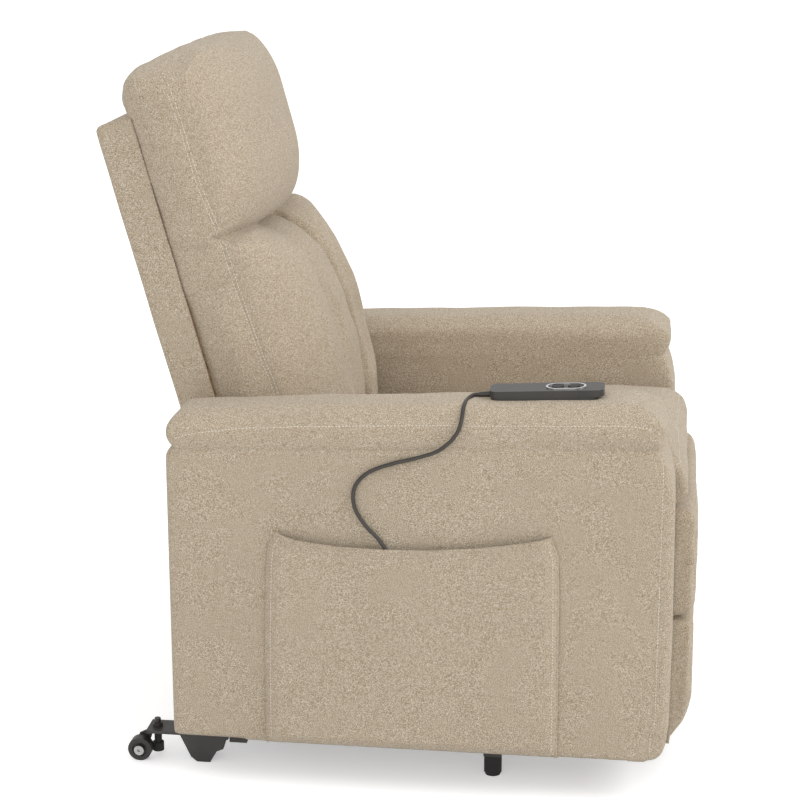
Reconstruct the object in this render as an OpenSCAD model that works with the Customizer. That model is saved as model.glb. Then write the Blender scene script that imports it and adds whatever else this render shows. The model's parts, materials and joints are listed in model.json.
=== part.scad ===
// Lift recliner chair: upholstered seat, back and arms on a powered lift base.
// Millimetres. +Z is up, the sitter faces -Y, and the sitter's right hand is at -X.
// The origin is on the floor, under the middle of the chair.

/* [Arms and seat] */
// Clearance between the back and each arm
arm_clear = 3; // [2:0.5:6]
// Width of one arm's upholstered box
arm_w = 138; // [120:2:170]
// Front face of the arms, in front of the origin
arm_front = 432; // [400:2:450]
// Back face of the arms, behind the origin
arm_back = 336; // [326:2:350]
// Height of the arms' lower edge above the floor
arm_bottom = 64; // [60:1:70]
// Height of the arm pad's lower edge, above the origin
arm_pad_base = 546; // [530:1:570]
// Rise of the arm towards the front, in degrees
arm_slope = 2.15; // [0:0.05:3]
// Thickness of the arm pad
arm_pad_t = 55; // [50:1:75]
// Rise of the arm pad towards its front end
pad_rise = 8; // [2:1:12]
// How far the arm pad stands out past the arm box
arm_pad_over = 4; // [2:1:12]
// Thickness of the padded cover on the arm boards
cover_t = 6; // [4:0.5:8]
// Thickness of the plywood arm boards
board_t = 12; // [9:1:15]
// Height of the seat cushion's crown
seat_top = 520; // [505:1:535]
// Underside of the seat cushion
seat_base = 420; // [418:1:426]
// Front of the seat cushion, in front of the origin
seat_front = 458; // [450:1:470]

/* [Back] */
// Lean of the back at rest, in degrees
back_lean = 15.4; // [13:0.1:16]
// Height of the back frame along its own slope
back_h = 622; // [580:2:660]
// Thickness of the back frame
back_t = 62; // [56:1:66]
// Width of the back frame
back_w = 474; // [440:2:560]
// Thickness of the back's side cushions in front of the frame
bolster_t = 200; // [190:1:215]
// Width of the middle cushion
lumbar_w = 150; // [120:2:240]
// Width of the head pillow
pillow_w = 480; // [460:2:500]
// Height of the head pillow
pillow_h = 302; // [280:2:320]

/* [Foot rest] */
// Thickness of the foot rest's plywood board
foot_board_t = 12; // [9:1:14]
// Thickness of the foot rest's pads
foot_pad_t = 28; // [20:1:34]
// Width of the foot rest
foot_w = 470; // [440:2:474]
// Height at which the two foot rest pads meet
foot_seam = 247; // [230:1:260]

/* [Steel] */
// Width of the square base tubes
tube = 28; // [24:1:30]
// Half the distance between the base's side tubes
rail_x = 300; // [285:1:310]
// Thickness of the flat links and plates
steel_t = 4; // [3:0.5:5]
// Gap between two links that lie side by side
link_gap = 2; // [1:0.25:3]
// Radius of the pivot pins
pin_r = 6; // [5:0.25:7]
// Radial running clearance of the pivot pins
run = 0.06; // [0.02:0.01:0.1]
// Radial play at the pivots that close a linkage
loop_play = 2.2; // [2:0.1:2.6]
// Radial play at the upper pivot of the lift's guide links
guide_play = 0.3; // [0.2:0.05:0.6]
// Radius of the rear transport wheels
wheel_r = 19; // [17:1:22]

/* [Pocket, handset and cord] */
// Depth of the side pocket
pocket_depth = 12.5; // [11:0.5:16]
// Thickness of the pocket's cloth
pocket_t = 2; // [1.5:0.25:3]
// Length of the handset
handset_l = 170; // [150:1:190]
// Width of the handset
handset_w = 50; // [44:1:56]
// Thickness of the handset
handset_t = 18; // [16:0.5:22]
// Diameter of the handset's cord
cord_d = 6; // [5:0.5:7]
// Travel of the handset's buttons
button_travel = 1.2; // [0.6:0.1:1.5]

/* [Hidden] */
$fn = 48;
touch = 0.3;
gap_x = back_w / 2 + arm_clear;
arm_out = gap_x + arm_w;
plate_out = 208;
plate_in = plate_out - steel_t;
// Planes of the flat links, counted inwards from the side plates: inner and outer face
step_x = steel_t + link_gap;
plane_a = [plate_in - step_x, plate_in - link_gap];
plane_b = plane_a - [step_x, step_x];
plane_c = plane_b - [step_x, step_x];
plane_d = plane_c - [step_x, step_x];
plane_e = plane_d - [step_x, step_x];
plane_guide = [172, 176];
plane_upright = [162, 168];
plane_lift = [152, 158];

// Pivots of the lift linkage, as [y, z]
lift_low = [-165, 178];
guide_low = [-211, 165];
lift_high = [257, 128];
guide_high = [112, 114];
// Pivots of the lift motor: on the side plates' crossbar and on the lift arms' crossbar
lift_motor_top = [187, 315];
lift_motor_end = [62, 165];
// Pivots of the foot rest linkage
drive = [-140, 336];
support = [-195, 283];
knee = [-150, 105];
knee_low = [-189, 86];
foot_low = [-391, 285];
twin_arm = 50;
twin_turn = 105;
knee_twin = knee + twin_arm * [cos(twin_turn), sin(twin_turn)];
foot_twin = foot_low + twin_arm * [cos(twin_turn), sin(twin_turn)];
crank = [-164, 360];
carriage_pin = [-212.5, 230];
// Pivots of the back and of its motor
hinge = [245, 398];
back_motor_front = [60, 300];
back_motor_end = [260, 246];
link_r = 11;
small_r = 8;
drive_tube_r = 12;
drive_bore_r = 8;
// How far the drive tube sits on the stub shafts of the side plates
stub_l = 24;
lift_arm_r = 13;

// The side tubes lie on flat cross tubes, up inside the arms
cross_z = 34;
cross_h = 16;
cross_top = cross_z + cross_h;
rail_front = -182;
rail_back = 312;
foot_y = -160;
rear_cross_y = 246;
wheel_y = 404;
wheel_w = 17;
wheel_x = rail_x + 19;

rear_panel_top = 392;

seat_rail_out = gap_x;
spring_t = 4;
seat_rail_top = seat_base - spring_t - touch;
seat_rail_z = 352;
seat_rail_front = -400;
seat_rail_back = 185;
rail_board = 22;
// Gap of a glued joint between two boards
glue_gap = 0.2;
crossbar_y = [-40, 170];
crossbar_z = 182;
crossbar_h = 18;
track_x = -70;
track_w = 30;
track_z = crossbar_z + crossbar_h;
track_h = 20;
lift_motor_x = 80;
pocket_out = arm_out + pocket_depth;

// Pillow and cushions, measured in the back's own frame: y in front is negative
back_foot = [300, 400];
cushion_low = 25;
pillow_low = 404;
cushion_top = pillow_low - 3;

foot_back = 423;
foot_front = foot_back + foot_board_t + foot_pad_t;
foot_low_z = 30;
foot_top_z = 426;

pad_end = 416;
pad_back = 335;
pad_crown = 32;
// Height of the crown that is cut flat along the top
pad_flat = 2.5;

// The arm pad rises between these two places, measured from the origin along the pad
rise_back = pad_back - arm_pad_t / 2;
rise_front = -335;
rise_angle = atan(pad_rise / (rise_back - rise_front));

handset_x = -(gap_x + arm_out + arm_pad_over) / 2;
handset_tilt = arm_slope + rise_angle;
// Place of the handset's middle on the pad: along the pad, and above its base
handset_on = [-238, arm_pad_t + (rise_back + 238) * tan(rise_angle) + touch];
handset_y = handset_on[0] * cos(arm_slope) + handset_on[1] * sin(arm_slope);
handset_z = arm_pad_base + touch - handset_on[0] * sin(arm_slope) + handset_on[1] * cos(arm_slope);
split_z = 8;
// The strain relief's sleeve: its length inside the handset and its length outside
relief_in = 8;
relief_l = 18;
relief_tip = [
    handset_x,
    handset_y + (handset_l / 2 + relief_l) * cos(handset_tilt) + split_z * sin(handset_tilt),
    handset_z - (handset_l / 2 + relief_l) * sin(handset_tilt) + split_z * cos(handset_tilt)
];
cord_r = cord_d / 2;
// Route of the handset's cord, from the strain relief to the grommet in the pocket.
// After its first two points, X is measured from the arm's outer face.
cord_route = concat(
    [relief_tip, relief_tip + 6 * [0, cos(handset_tilt), -sin(handset_tilt)]],
    [for (p = [
        [59, -121, 618.6], [49, -117, 616.2], [35.6, -115, 614.4], [21, -114, 610.3], [8.4, -114, 604.4],
        [-3.2, -113, 595], [-7.8, -110, 584.8], [-9.2, -104, 574.6], [-9.5, -96, 565], [-9, -78, 551],
        [-7, -50, 540], [-5, -16, 530],
        [-4.5, 14, 519], [-4.5, 34, 506], [-4.5, 46, 487], [-4.5, 47, 466], [-4.5, 40, 446],
        [-4.5, 26, 427], [-5, 8, 408], [-6, -6, 384], [-6, -14, 340], [-6, -18, 290],
        [-6, -24, 240], [-6, -38, 190], [-6, -62, 150], [-6, -95, 130], [-6, -130, 130],
        [-6, -160, 148], [-6, -178, 180], [-6, -180, 216], [-6, -168, 250], [-6, -147, 276],
        [-6, -120, 289.5], [-6, -94, 290], [-6, -88, 290]
    ]) p - [arm_out, 0, 0]]
);
cord_sides = 8;
cord_end = cord_route[len(cord_route) - 1];
hood_t = 9.5;
hood_y = cord_end[1] + 10;
hood_z = cord_end[2];

fabric_c = [0.71, 0.65, 0.57];
steel_c = [0.16, 0.15, 0.14];
wood_c = [0.76, 0.62, 0.42];
plastic_c = [0.2, 0.19, 0.18];

// ---- helpers ----
// An outline drawn in Y and Z, as a slab between two X planes
module slab(x0, x1) translate([x0, 0, 0]) rotate([90, 0, 90]) linear_extrude(x1 - x0) children();
// The same slab on both sides of the chair
module slabs(plane) {
    slab(plane[0], plane[1]) children();
    slab(-plane[1], -plane[0]) children();
}
// A round bar along X between two X planes, about a pivot given as [y, z]
module bar_x(p, r, x0, x1) translate([x0, p[0], p[1]]) rotate([0, 90, 0]) cylinder(r = r, h = x1 - x0);
module bars_x(p, r, x0, x1) {
    bar_x(p, r, x0, x1);
    bar_x(p, r, -x1, -x0);
}
module dot(p, r) translate(p) circle(r);
// Points on an arc about c, in n steps from angle a0 to angle a1
function arc(c, r, a0, a1, n) =
    [for (i = [0 : n]) c + r * [cos(a0 + (a1 - a0) * i / n), sin(a0 + (a1 - a0) * i / n)]];
// Outline of a flat bar with round ends from a to b
end_facets = 10;
module strap(a, b, r) {
    turn = atan2(b[1] - a[1], b[0] - a[0]);
    polygon(concat(arc(a, r, turn + 90, turn + 270, end_facets), arc(b, r, turn - 90, turn + 90, end_facets)));
}
// A rectangle with round corners
module round_rect(w, h, r) {
    translate([r, 0]) square([w - 2 * r, h]);
    translate([0, r]) square([w, h - 2 * r]);
    for (x = [r, w - r], y = [r, h - r]) translate([x, y]) circle(r);
}
module box(lo, hi) translate(lo) cube(hi - lo);
// Places children of the back's own frame into the chair
module back_frame() translate([0, back_foot[0], back_foot[1]]) rotate([-back_lean, 0, 0]) children();
// Places children along a line from a to b in the YZ plane, with +Z of the child along the line
module along(x, a, b) {
    d = b - a;
    translate([x, a[0], a[1]]) rotate([atan2(d[1], d[0]) - 90, 0, 0]) children();
}

// ---- floor base ----
module base_side_tubes() color(steel_c)
    for (s = [-1, 1]) translate([s * rail_x - tube / 2, rail_front, cross_top])
        cube([tube, rail_back - rail_front, tube]);

module base_cross_tubes() color(steel_c)
    for (y = [foot_y, rear_cross_y])
        translate([-rail_x - tube / 2, y - tube / 2, cross_z]) cube([2 * rail_x + tube, tube, cross_h]);

module lift_uprights() color(steel_c) difference() {
    slabs(plane_upright) polygon([
        [rail_front - 6, cross_top], guide_low + [-20, 4], guide_low + [-6, 19],
        lift_low + [0, 20], lift_low + [19, 0], [foot_y + tube / 2 + 6, cross_top]
    ]);
    for (p = [lift_low, guide_low]) bar_x(p, pin_r, -arm_out, arm_out);
}

module base_pivot_pins() color("silver") {
    bars_x(lift_low, pin_r, plane_lift[0] - 2, plane_upright[1] + 1);
    bars_x(guide_low, pin_r, plane_upright[0] - 1, plane_guide[1] + 2);
}

// Two glides under the front cross tube, and a rubber stop under each rear plate
stop_y = 380;
module floor_feet() color("#302e2b") for (s = [-1, 1]) {
    translate([s * rail_x, foot_y, 0]) {
        cylinder(r = tube / 2 - 2, h = 4);
        translate([0, 0, 4]) cylinder(r = tube / 2, h = cross_z - 4);
    }
    translate([s * rail_x, stop_y, 0]) {
        translate([0, 0, 8]) cylinder(r = 9, h = 14);
        translate([0, 0, 22]) cylinder(r = 6, h = plate_low - 22);
    }
}

// Flat plates under the rear ends of the side tubes. Each carries a folded foot,
// a levelling bolt and a cheek that holds a wheel.
plate_t = 5;
plate_low = cross_top - plate_t;
plate_half = 22;
plate_end = stop_y + 14;
foot_half = 20;
cheek_x = wheel_x - wheel_w / 2 - 2;
module wheel_brackets() color(steel_c) difference() {
    for (s = [-1, 1]) {
        box([s * rail_x - plate_half, rear_cross_y + tube / 2, plate_low],
            [s * rail_x + plate_half, plate_end, cross_top]);
        slab(s * cheek_x - (s > 0 ? steel_t : 0), s * cheek_x + (s < 0 ? steel_t : 0)) polygon(concat(
            [[plate_end - 9, plate_low + 1], [plate_end, plate_low + 1], [wheel_y + 4, plate_low - 6]],
            arc([wheel_y, wheel_r], 11, 50, -130, end_facets)));
        difference() {
            slab(s * rail_x - foot_half, s * rail_x + foot_half) polygon([
                [262, plate_low + 1], [269, 24], [280, 19], [291, 0], [312, 0], [322, 8], [340, plate_low + 1]
            ]);
            // The foot is open at the front
            slab(s * rail_x - foot_half + steel_t, s * rail_x + foot_half - steel_t) polygon([
                [250, plate_low], [250, 20], [276, steel_t], [310, steel_t], [318, 10], [335, plate_low]
            ]);
        }
        translate([s * rail_x, stop_y, cross_top - 1]) {
            cylinder(r = 8, h = 7);
            cylinder(r = 5, h = 14);
        }
    }
    for (s = [-1, 1]) bar_x([wheel_y, wheel_r], pin_r, s * cheek_x - steel_t - 1, s * cheek_x + steel_t + 1);
}

// Axle screws of the wheels, with a hexagon socket in each head
module wheel_axles() color("silver") for (s = [-1, 1]) {
    inner = s * (cheek_x - steel_t - 3);
    head = s * (wheel_x + wheel_w / 2 + 1);
    bar_x([wheel_y, wheel_r], pin_r, min(inner, head), max(inner, head));
    difference() {
        bar_x([wheel_y, wheel_r], 8, min(head, head + s * 4), max(head, head + s * 4));
        translate([head + s * 3, wheel_y, wheel_r]) rotate([0, 90, 0])
            cylinder(r = 3, h = 4, center = true, $fn = 6);
    }
}

module power_supply() color(plastic_c) difference() {
    box([-110, 186, cross_top], [60, 292, cross_top + 40]);
    // Inlet for a mains lead, in the rear face
    box([-92, 276, cross_top + 10], [-64, 293, cross_top + 30]);
}

module wheel() color("#35322f") {
    difference() {
        bar_x([wheel_y, wheel_r], wheel_r, -wheel_w / 2, wheel_w / 2);
        bar_x([wheel_y, wheel_r], pin_r + run, -wheel_w, wheel_w);
        for (s = [-1, 1]) bar_x([wheel_y, wheel_r], wheel_r - 7, s * wheel_w / 2 - 3, s * wheel_w / 2 + 3);
    }
}
module wheel_right() translate([-wheel_x, 0, 0]) wheel();
module wheel_left() translate([wheel_x, 0, 0]) wheel();

// ---- lift linkage ----
module lift_arms() color(steel_c) difference() {
    slabs(plane_lift) {
        strap(lift_low, lift_high, lift_arm_r);
    }
    for (p = [lift_low, lift_high]) bar_x(p, pin_r + run, -arm_out, arm_out);
}
clevis_gap = 22;
module lift_crossbar() color(steel_c) {
    // Round tube under the arms' pivots, welded between the two lift arms
    bar_x(lift_motor_end + [34, -4], 12, -plane_lift[0], plane_lift[0]);
    // Two ears that hold the lift motor's rod
    for (s = [-1, 1]) difference() {
        slab(lift_motor_x + s * clevis_gap / 2 + (s < 0 ? -steel_t - 1 : 0),
             lift_motor_x + s * clevis_gap / 2 + (s < 0 ? 0 : steel_t + 1))
            difference() {
                strap(lift_motor_end, lift_motor_end + [34, -4], 11);
                dot(lift_motor_end + [34, -4], 12);
            }
        bar_x(lift_motor_end, pin_r, -arm_out, arm_out);
    }
    bar_x(lift_motor_end, pin_r, lift_motor_x - clevis_gap / 2 - 7, lift_motor_x + clevis_gap / 2 + 7);
}
module guide_links() color(steel_c) difference() {
    slabs(plane_guide) strap(guide_low, guide_high, link_r);
    bar_x(guide_low, pin_r + run, -arm_out, arm_out);
    bar_x(guide_high, pin_r + guide_play, -arm_out, arm_out);
}

// ---- lift motor: a housing that swings on the chassis, and the rod that runs out of it ----
motor_tube_r = 19;
rod_r = 9;
module lift_motor() color(plastic_c) along(lift_motor_x, lift_motor_top, lift_motor_end) {
    l = norm(lift_motor_end - lift_motor_top);
    difference() {
        union() {
            translate([-23, -26, -22]) cube([46, 52, 78]);
            translate([23, 0, 32]) rotate([0, 90, 0]) cylinder(r = 22, h = 62);
            cylinder(r = motor_tube_r, h = l - 42);
        }
        translate([-60, 0, 0]) rotate([0, 90, 0]) cylinder(r = pin_r + run, h = 120);
        translate([0, 0, 52]) cylinder(r = rod_r + run, h = l);
    }
}
module lift_motor_rod() color("silver") along(lift_motor_x, lift_motor_top, lift_motor_end) {
    l = norm(lift_motor_end - lift_motor_top);
    difference() {
        union() {
            translate([0, 0, 54]) cylinder(r = rod_r, h = l - 54 - 6);
            translate([-clevis_gap / 2 + touch, 0, l]) rotate([0, 90, 0])
                cylinder(r = 15, h = clevis_gap - 2 * touch);
            translate([-clevis_gap / 2 + touch, -11, l - 26]) cube([clevis_gap - 2 * touch, 22, 22]);
        }
        translate([-60, 0, l]) rotate([0, 90, 0]) cylinder(r = pin_r + loop_play, h = 120);
    }
}

// ---- chassis ----
module side_plates() color(steel_c) difference() {
    slabs([plate_in, plate_out]) polygon([
        support + [-20, -4], support + [-8, -20], support + [14, -20], guide_high + [-14, -16],
        guide_high + [6, -20], lift_high + [6, -20], lift_high + [22, -4], hinge + [17, -76],
        hinge + [3, -53], hinge + [20, -8], hinge + [14, 13], hinge + [-8, 18], drive + [-14, 20],
        support + [-20, 14]
    ]);
    for (p = [lift_high, guide_high, drive, support, hinge])
        bar_x(p, p == drive ? drive_bore_r : pin_r, -arm_out, arm_out);
    for (y = [-30, 60, 150]) bar_x([y, 260], 26, -arm_out, arm_out);
}

module chassis_crossbars() color(steel_c) {
    for (y = crossbar_y) box([-plate_in, y - 12, crossbar_z], [plate_in, y + 12, crossbar_z + crossbar_h]);
    // Round bar that the lift motor swings on
    bar_x(lift_motor_top, pin_r, -plate_in, plate_in);
    // Round bar that the back motor swings on
    bar_x(back_motor_front, pin_r, -plate_in, plate_in);
}

module chassis_pivot_pins() color("silver") {
    bars_x(lift_high, pin_r, plane_lift[0] - 2, plate_out);
    bars_x(guide_high, pin_r, plane_guide[0] - 2, plate_out);
    bars_x(support, pin_r, plane_a[0] - 1, plate_out);
    bars_x(drive, drive_bore_r, plane_b[0] - stub_l, plate_out);
    bars_x(hinge, pin_r, plate_in - 2, back_w / 2 - 8);
}

module seat_rails() color(wood_c) {
    for (s = [-1, 1]) box([s > 0 ? plate_out : -seat_rail_out, seat_rail_front, seat_rail_z],
                          [s > 0 ? seat_rail_out : -plate_out, seat_rail_back, seat_rail_top]);
    box([-plate_out + glue_gap, seat_rail_front, seat_rail_top - 24],
        [plate_out - glue_gap, seat_rail_front + rail_board, seat_rail_top]);
    box([-plate_in, seat_rail_back - rail_board, seat_rail_top - 36],
        [plate_in, seat_rail_back, seat_rail_top]);
}

// Zigzag wire springs between the front and the rear rail
spring_pitch = 25;
spring_half = 16;
spring_n = floor((seat_rail_back - seat_rail_front - 8) / spring_pitch);
function zig_x(i) = (i % 2 == 0 ? -1 : 1) * spring_half;
module seat_springs() color("silver")
    for (k = [-2 : 2]) translate([k * 78, seat_rail_front + 4, seat_rail_top])
        linear_extrude(spring_t) polygon(concat(
            [for (i = [0 : spring_n]) [zig_x(i), i * spring_pitch]],
            [for (i = [spring_n : -1 : 0]) [zig_x(i) + 5, i * spring_pitch]]));

// Height of the cushion's edges below its crown
crown = 34;
module seat_cushion() color(fabric_c)
    intersection() {
        slab(-gap_x + 3, gap_x - 3) polygon(concat(
            [[-405, seat_base], [165, seat_base + 1], [165, 457], [80, 480], [68, 489], [56, 501], [42, 511]],
            [[26, seat_top]],
            [for (a = [90 : 15 : 180]) [-seat_front + 68 + 68 * cos(a), seat_top - 74 + 74 * sin(a)]],
            [[-seat_front + 8, seat_base + 20], [-seat_front + 22, seat_base + 12]]));
        translate([0, 200, 0]) rotate([90, 0, 0]) linear_extrude(800) polygon(concat(
            [[-gap_x + 3, seat_base]],
            [for (t = [-1 : 0.125 : 1]) [t * (gap_x - 3), seat_top - crown * pow(abs(t), 4)]],
            [[gap_x - 3, seat_base]]));
    }

// Top edge of an arm box; it follows the arm's slope
function arm_edge(y) = arm_pad_base - y * tan(arm_slope);
// Side outline of an arm box, drawn in by inset, with its bottom at low and its top at arm_edge less drop
module arm_outline(inset, low, drop) {
    f = -arm_front + inset;
    b = arm_back - inset;
    polygon([
        [b, low + 3], [0, low], [f + 46, low + 4], [f + 26, low + 12], [f + 10, low + 36],
        [f + 2, low + 84], [f, low + 200], [f + 3, arm_edge(f) - 72], [f + 10, arm_edge(f) - 36],
        [f + 20, arm_edge(f) - 12 - drop],
        [f + 30, arm_edge(f + 30) - drop], [b, arm_edge(b) - drop]
    ]);
}
board_in = cover_t + touch;
module arm_boards() color(wood_c) {
    for (x = [gap_x + board_in, arm_out - board_in - board_t])
        slab(x, x + board_t) arm_outline(board_in, arm_bottom + board_in, board_in);
    // Front, rear and top boards between the two sides
    x0 = gap_x + board_in + board_t + glue_gap;
    x1 = arm_out - board_in - board_t - glue_gap;
    f = -arm_front + board_in;
    b = arm_back - board_in;
    box([x0, f + 3, arm_bottom + 130], [x1, f + 3 + board_t, arm_edge(f) - 80]);
    box([x0, b - board_t, arm_bottom + 20], [x1, b, arm_edge(b) - board_in - 1]);
    top_f = f + 60;
    top_b = b - board_t - glue_gap;
    slab(x0, x1) polygon([
        [top_f, arm_edge(top_f) - board_in], [top_b, arm_edge(top_b) - board_in],
        [top_b, arm_edge(top_b) - board_in - board_t], [top_f, arm_edge(top_f) - board_in - board_t]
    ]);
}
module arm_boards_left() arm_boards();
module arm_boards_right() mirror([1, 0, 0]) arm_boards();

// Padded cover of an arm: front, rear and both sides, open below and under the arm pad
module arm_cover() color(fabric_c) difference() {
    slab(gap_x, arm_out) arm_outline(0, arm_bottom, 0);
    slab(gap_x + cover_t, arm_out - cover_t) arm_outline(cover_t, arm_bottom - 1, -10);
}
module arm_cover_left() arm_cover();
module arm_cover_right() difference() {
    mirror([1, 0, 0]) arm_cover();
    bar_x([hood_y, hood_z], grommet_r, -arm_out - 1, -arm_out + cover_t + 1);
}

// Arm pad: a bar with round ends that rises towards the front, laid on the arm's slope
pad_x0 = gap_x;
pad_x1 = arm_out + arm_pad_over;
pad_front_r = 32;
module arm_pad() color(fabric_c)
    translate([0, 0, arm_pad_base + touch]) rotate([-arm_slope, 0, 0]) intersection() {
        slab(pad_x0 - 1, pad_x1 + 1) polygon(concat(
            arc([pad_back - arm_pad_t / 2, arm_pad_t / 2], arm_pad_t / 2, -90, 90, end_facets),
            [[rise_front, arm_pad_t + pad_rise]],
            arc([pad_front_r - pad_end, pad_front_r], pad_front_r, 105, 270, end_facets)));
        // A long bar with a crowned top that rises towards the front
        translate([0, rise_back, arm_pad_t + pad_flat]) rotate([90 - rise_angle, 0, 0])
            translate([0, 0, -60]) linear_extrude(2 * pad_end) polygon(concat(
                [for (a = [-90 : 15 : 90])
                    [(pad_x0 + pad_x1 + (pad_x1 - pad_x0) * sin(a)) / 2, -pad_crown * (1 - cos(a))]],
                [[pad_x1, -2 * arm_pad_t], [pad_x0, -2 * arm_pad_t]]));
    }
module arm_pad_left() arm_pad();
module arm_pad_right() mirror([1, 0, 0]) arm_pad();

// Upholstered panel that closes the rear between the arms, below the back
module rear_panel() color(fabric_c)
    box([-gap_x + touch, arm_back - 16, arm_bottom + 8], [gap_x - touch, arm_back - 4, rear_panel_top]);

// Side pocket sewn on the right arm
pocket_back = 184;
pocket_front = -262;
pocket_low = arm_bottom + 6;
pocket_seam = 8;
function rim_z(t) = 420 + 8 * t - 17 * sin(180 * t);
module pocket_outline(inset, rise) polygon(concat(
    [[pocket_front + inset, pocket_low + inset], [pocket_back - inset, pocket_low + inset]],
    [for (i = [0 : 8]) let (t = i / 8, wide = pocket_front - pocket_back + 2 * inset)
        [pocket_back - inset - 18 * t * (1 - t) + t * wide, rim_z(t) + rise]]));
module side_pocket() color(fabric_c) difference() {
    slab(-pocket_out, -arm_out) pocket_outline(0, 0);
    slab(-pocket_out + pocket_t, -arm_out + 1) pocket_outline(pocket_seam, 40);
}

grommet_r = 7;
// A hood on the arm's side that the cord runs into, and its sleeve through the cover
module cord_grommet() color(plastic_c) {
    bar_x([hood_y, hood_z], grommet_r, -arm_out, -arm_out + cover_t);
    box([-arm_out - hood_t, cord_end[1], hood_z - grommet_r],
        [-arm_out, hood_y + grommet_r, hood_z + grommet_r]);
}

module control_box() color(plastic_c)
    box([112, crossbar_y[0] - 34, track_z], [186, crossbar_y[0] + 40, track_z + 38]);

// Track, motor and carriage that push the foot rest open
module footrest_track() color("silver") difference() {
    box([track_x - track_w / 2, -252, track_z],
        [track_x + track_w / 2, crossbar_y[1] + 14, track_z + track_h]);
    box([track_x - 8, -260, track_z + 6], [track_x + 8, crossbar_y[1], track_z + track_h + 1]);
}
module footrest_motor() color(plastic_c) {
    box([track_x - 26, crossbar_y[1] + 14, track_z - 12], [track_x + 26, crossbar_y[1] + 62, track_z + 34]);
    translate([track_x, crossbar_y[1] + 38, track_z + 34]) cylinder(r = 21, h = 64);
}
module footrest_carriage() color("silver") {
    y = carriage_pin[0];
    difference() {
        union() {
            box([track_x - 7, y - 20, track_z + 6 + run], [track_x + 7, y + 20, track_z + track_h + touch]);
            box([track_x - 14, y - 20, track_z + track_h + touch],
                [track_x + 14, y + 20, carriage_pin[1] + 3]);
            for (s = [-1, 1]) slab(track_x + s * 9.5 - 3.5, track_x + s * 9.5 + 3.5)
                strap([y, track_z + track_h + 9 + touch], carriage_pin, 9);
        }
        bar_x(carriage_pin, pin_r, track_x - 20, track_x + 20);
        box([track_x - 6, y - 40, carriage_pin[1] - 9.5], [track_x + 6, y + 40, carriage_pin[1] + 40]);
    }
    bar_x(carriage_pin, pin_r, track_x - 13, track_x + 13);
}
module footrest_push_link() color(steel_c) difference() {
    slab(track_x - 5, track_x + 5) strap(carriage_pin, crank, 9);
    bar_x(carriage_pin, pin_r + run, track_x - 9, track_x + 9);
    bar_x(crank, pin_r - 1 + loop_play, track_x - 9, track_x + 9);
}

// ---- foot rest linkage ----
// Drive tube with a crank throw: two cheeks and a pin that the push link turns
cheek_in = 8;
cheek_out = 13;
module footrest_drive_tube() color(steel_c) {
    difference() {
        union() {
            bar_x(drive, drive_tube_r, -plane_b[0], track_x - cheek_in);
            bar_x(drive, drive_tube_r, track_x + cheek_in, plane_b[0]);
        }
        bars_x(drive, drive_bore_r + run, plane_b[0] - stub_l - 2, plane_b[0] + 1);
    }
    for (x = [track_x - cheek_out, track_x + cheek_in]) slab(x, x + cheek_out - cheek_in) difference() {
        strap(drive, crank, 10);
        dot(drive, drive_tube_r);
    }
    bar_x(crank, pin_r - 1, track_x - cheek_in, track_x + cheek_in);
}
module footrest_drive_links() color(steel_c) {
    difference() {
        slabs(plane_b) {
            strap(drive, knee, link_r);
            strap(knee, knee_twin, small_r);
            dot(drive, drive_tube_r + 3);
        }
        bar_x(drive, drive_bore_r + run, -arm_out, arm_out);
    }
    bars_x(knee, pin_r, plane_c[0] - 1.5, plane_b[0]);
    bars_x(knee_twin, pin_r - 1, plane_d[0] - 1.5, plane_b[0]);
}
module footrest_support_links() color(steel_c) difference() {
    slabs(plane_a) strap(support, knee_low, link_r);
    bar_x(support, pin_r + run, -arm_out, arm_out);
    bar_x(knee_low, pin_r - 1 + loop_play, -arm_out, arm_out);
}
module footrest_long_links() color(steel_c) {
    difference() {
        slabs(plane_c) {
            strap(knee, foot_low, link_r);
            strap(knee, knee_low, small_r + 1);
        }
        bar_x(knee, pin_r + run, -arm_out, arm_out);
        bar_x(foot_low, pin_r + run, -arm_out, arm_out);
    }
    bars_x(knee_low, pin_r - 1, plane_c[1], plane_a[1] + 1);
}
module footrest_twin_links() color(steel_c) difference() {
    slabs(plane_d) strap(knee_twin, foot_twin, small_r);
    bar_x(knee_twin, pin_r - 1 + run, -arm_out, arm_out);
    bar_x(foot_twin, pin_r - 1 + loop_play, -arm_out, arm_out);
}
module footrest_brackets() color(steel_c) {
    slabs(plane_e) polygon([
        foot_low + [-2, -12], foot_low + [10, -6], foot_low + [11, 6], foot_twin + [9, 4],
        foot_twin + [0, 10], [-foot_back + steel_t, foot_twin[1] + 14],
        [-foot_back + steel_t, foot_low[1] - 44]
    ]);
    // Flanges screwed to the board
    for (s = [-1, 1]) box([s > 0 ? plane_e[0] - 26 : -plane_e[1], -foot_back, foot_low[1] - 52],
                          [s > 0 ? plane_e[1] : -plane_e[0] + 26, -foot_back + steel_t, foot_twin[1] + 24]);
    bars_x(foot_low, pin_r, plane_e[1], plane_c[1] + 1);
    bars_x(foot_twin, pin_r - 1, plane_e[1], plane_d[1] + 1);
}
module footrest_board() color(wood_c)
    box([-foot_w / 2 + 14, -foot_back - foot_board_t, foot_low_z + 24],
        [foot_w / 2 - 14, -foot_back, foot_top_z - 14]);
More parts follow.
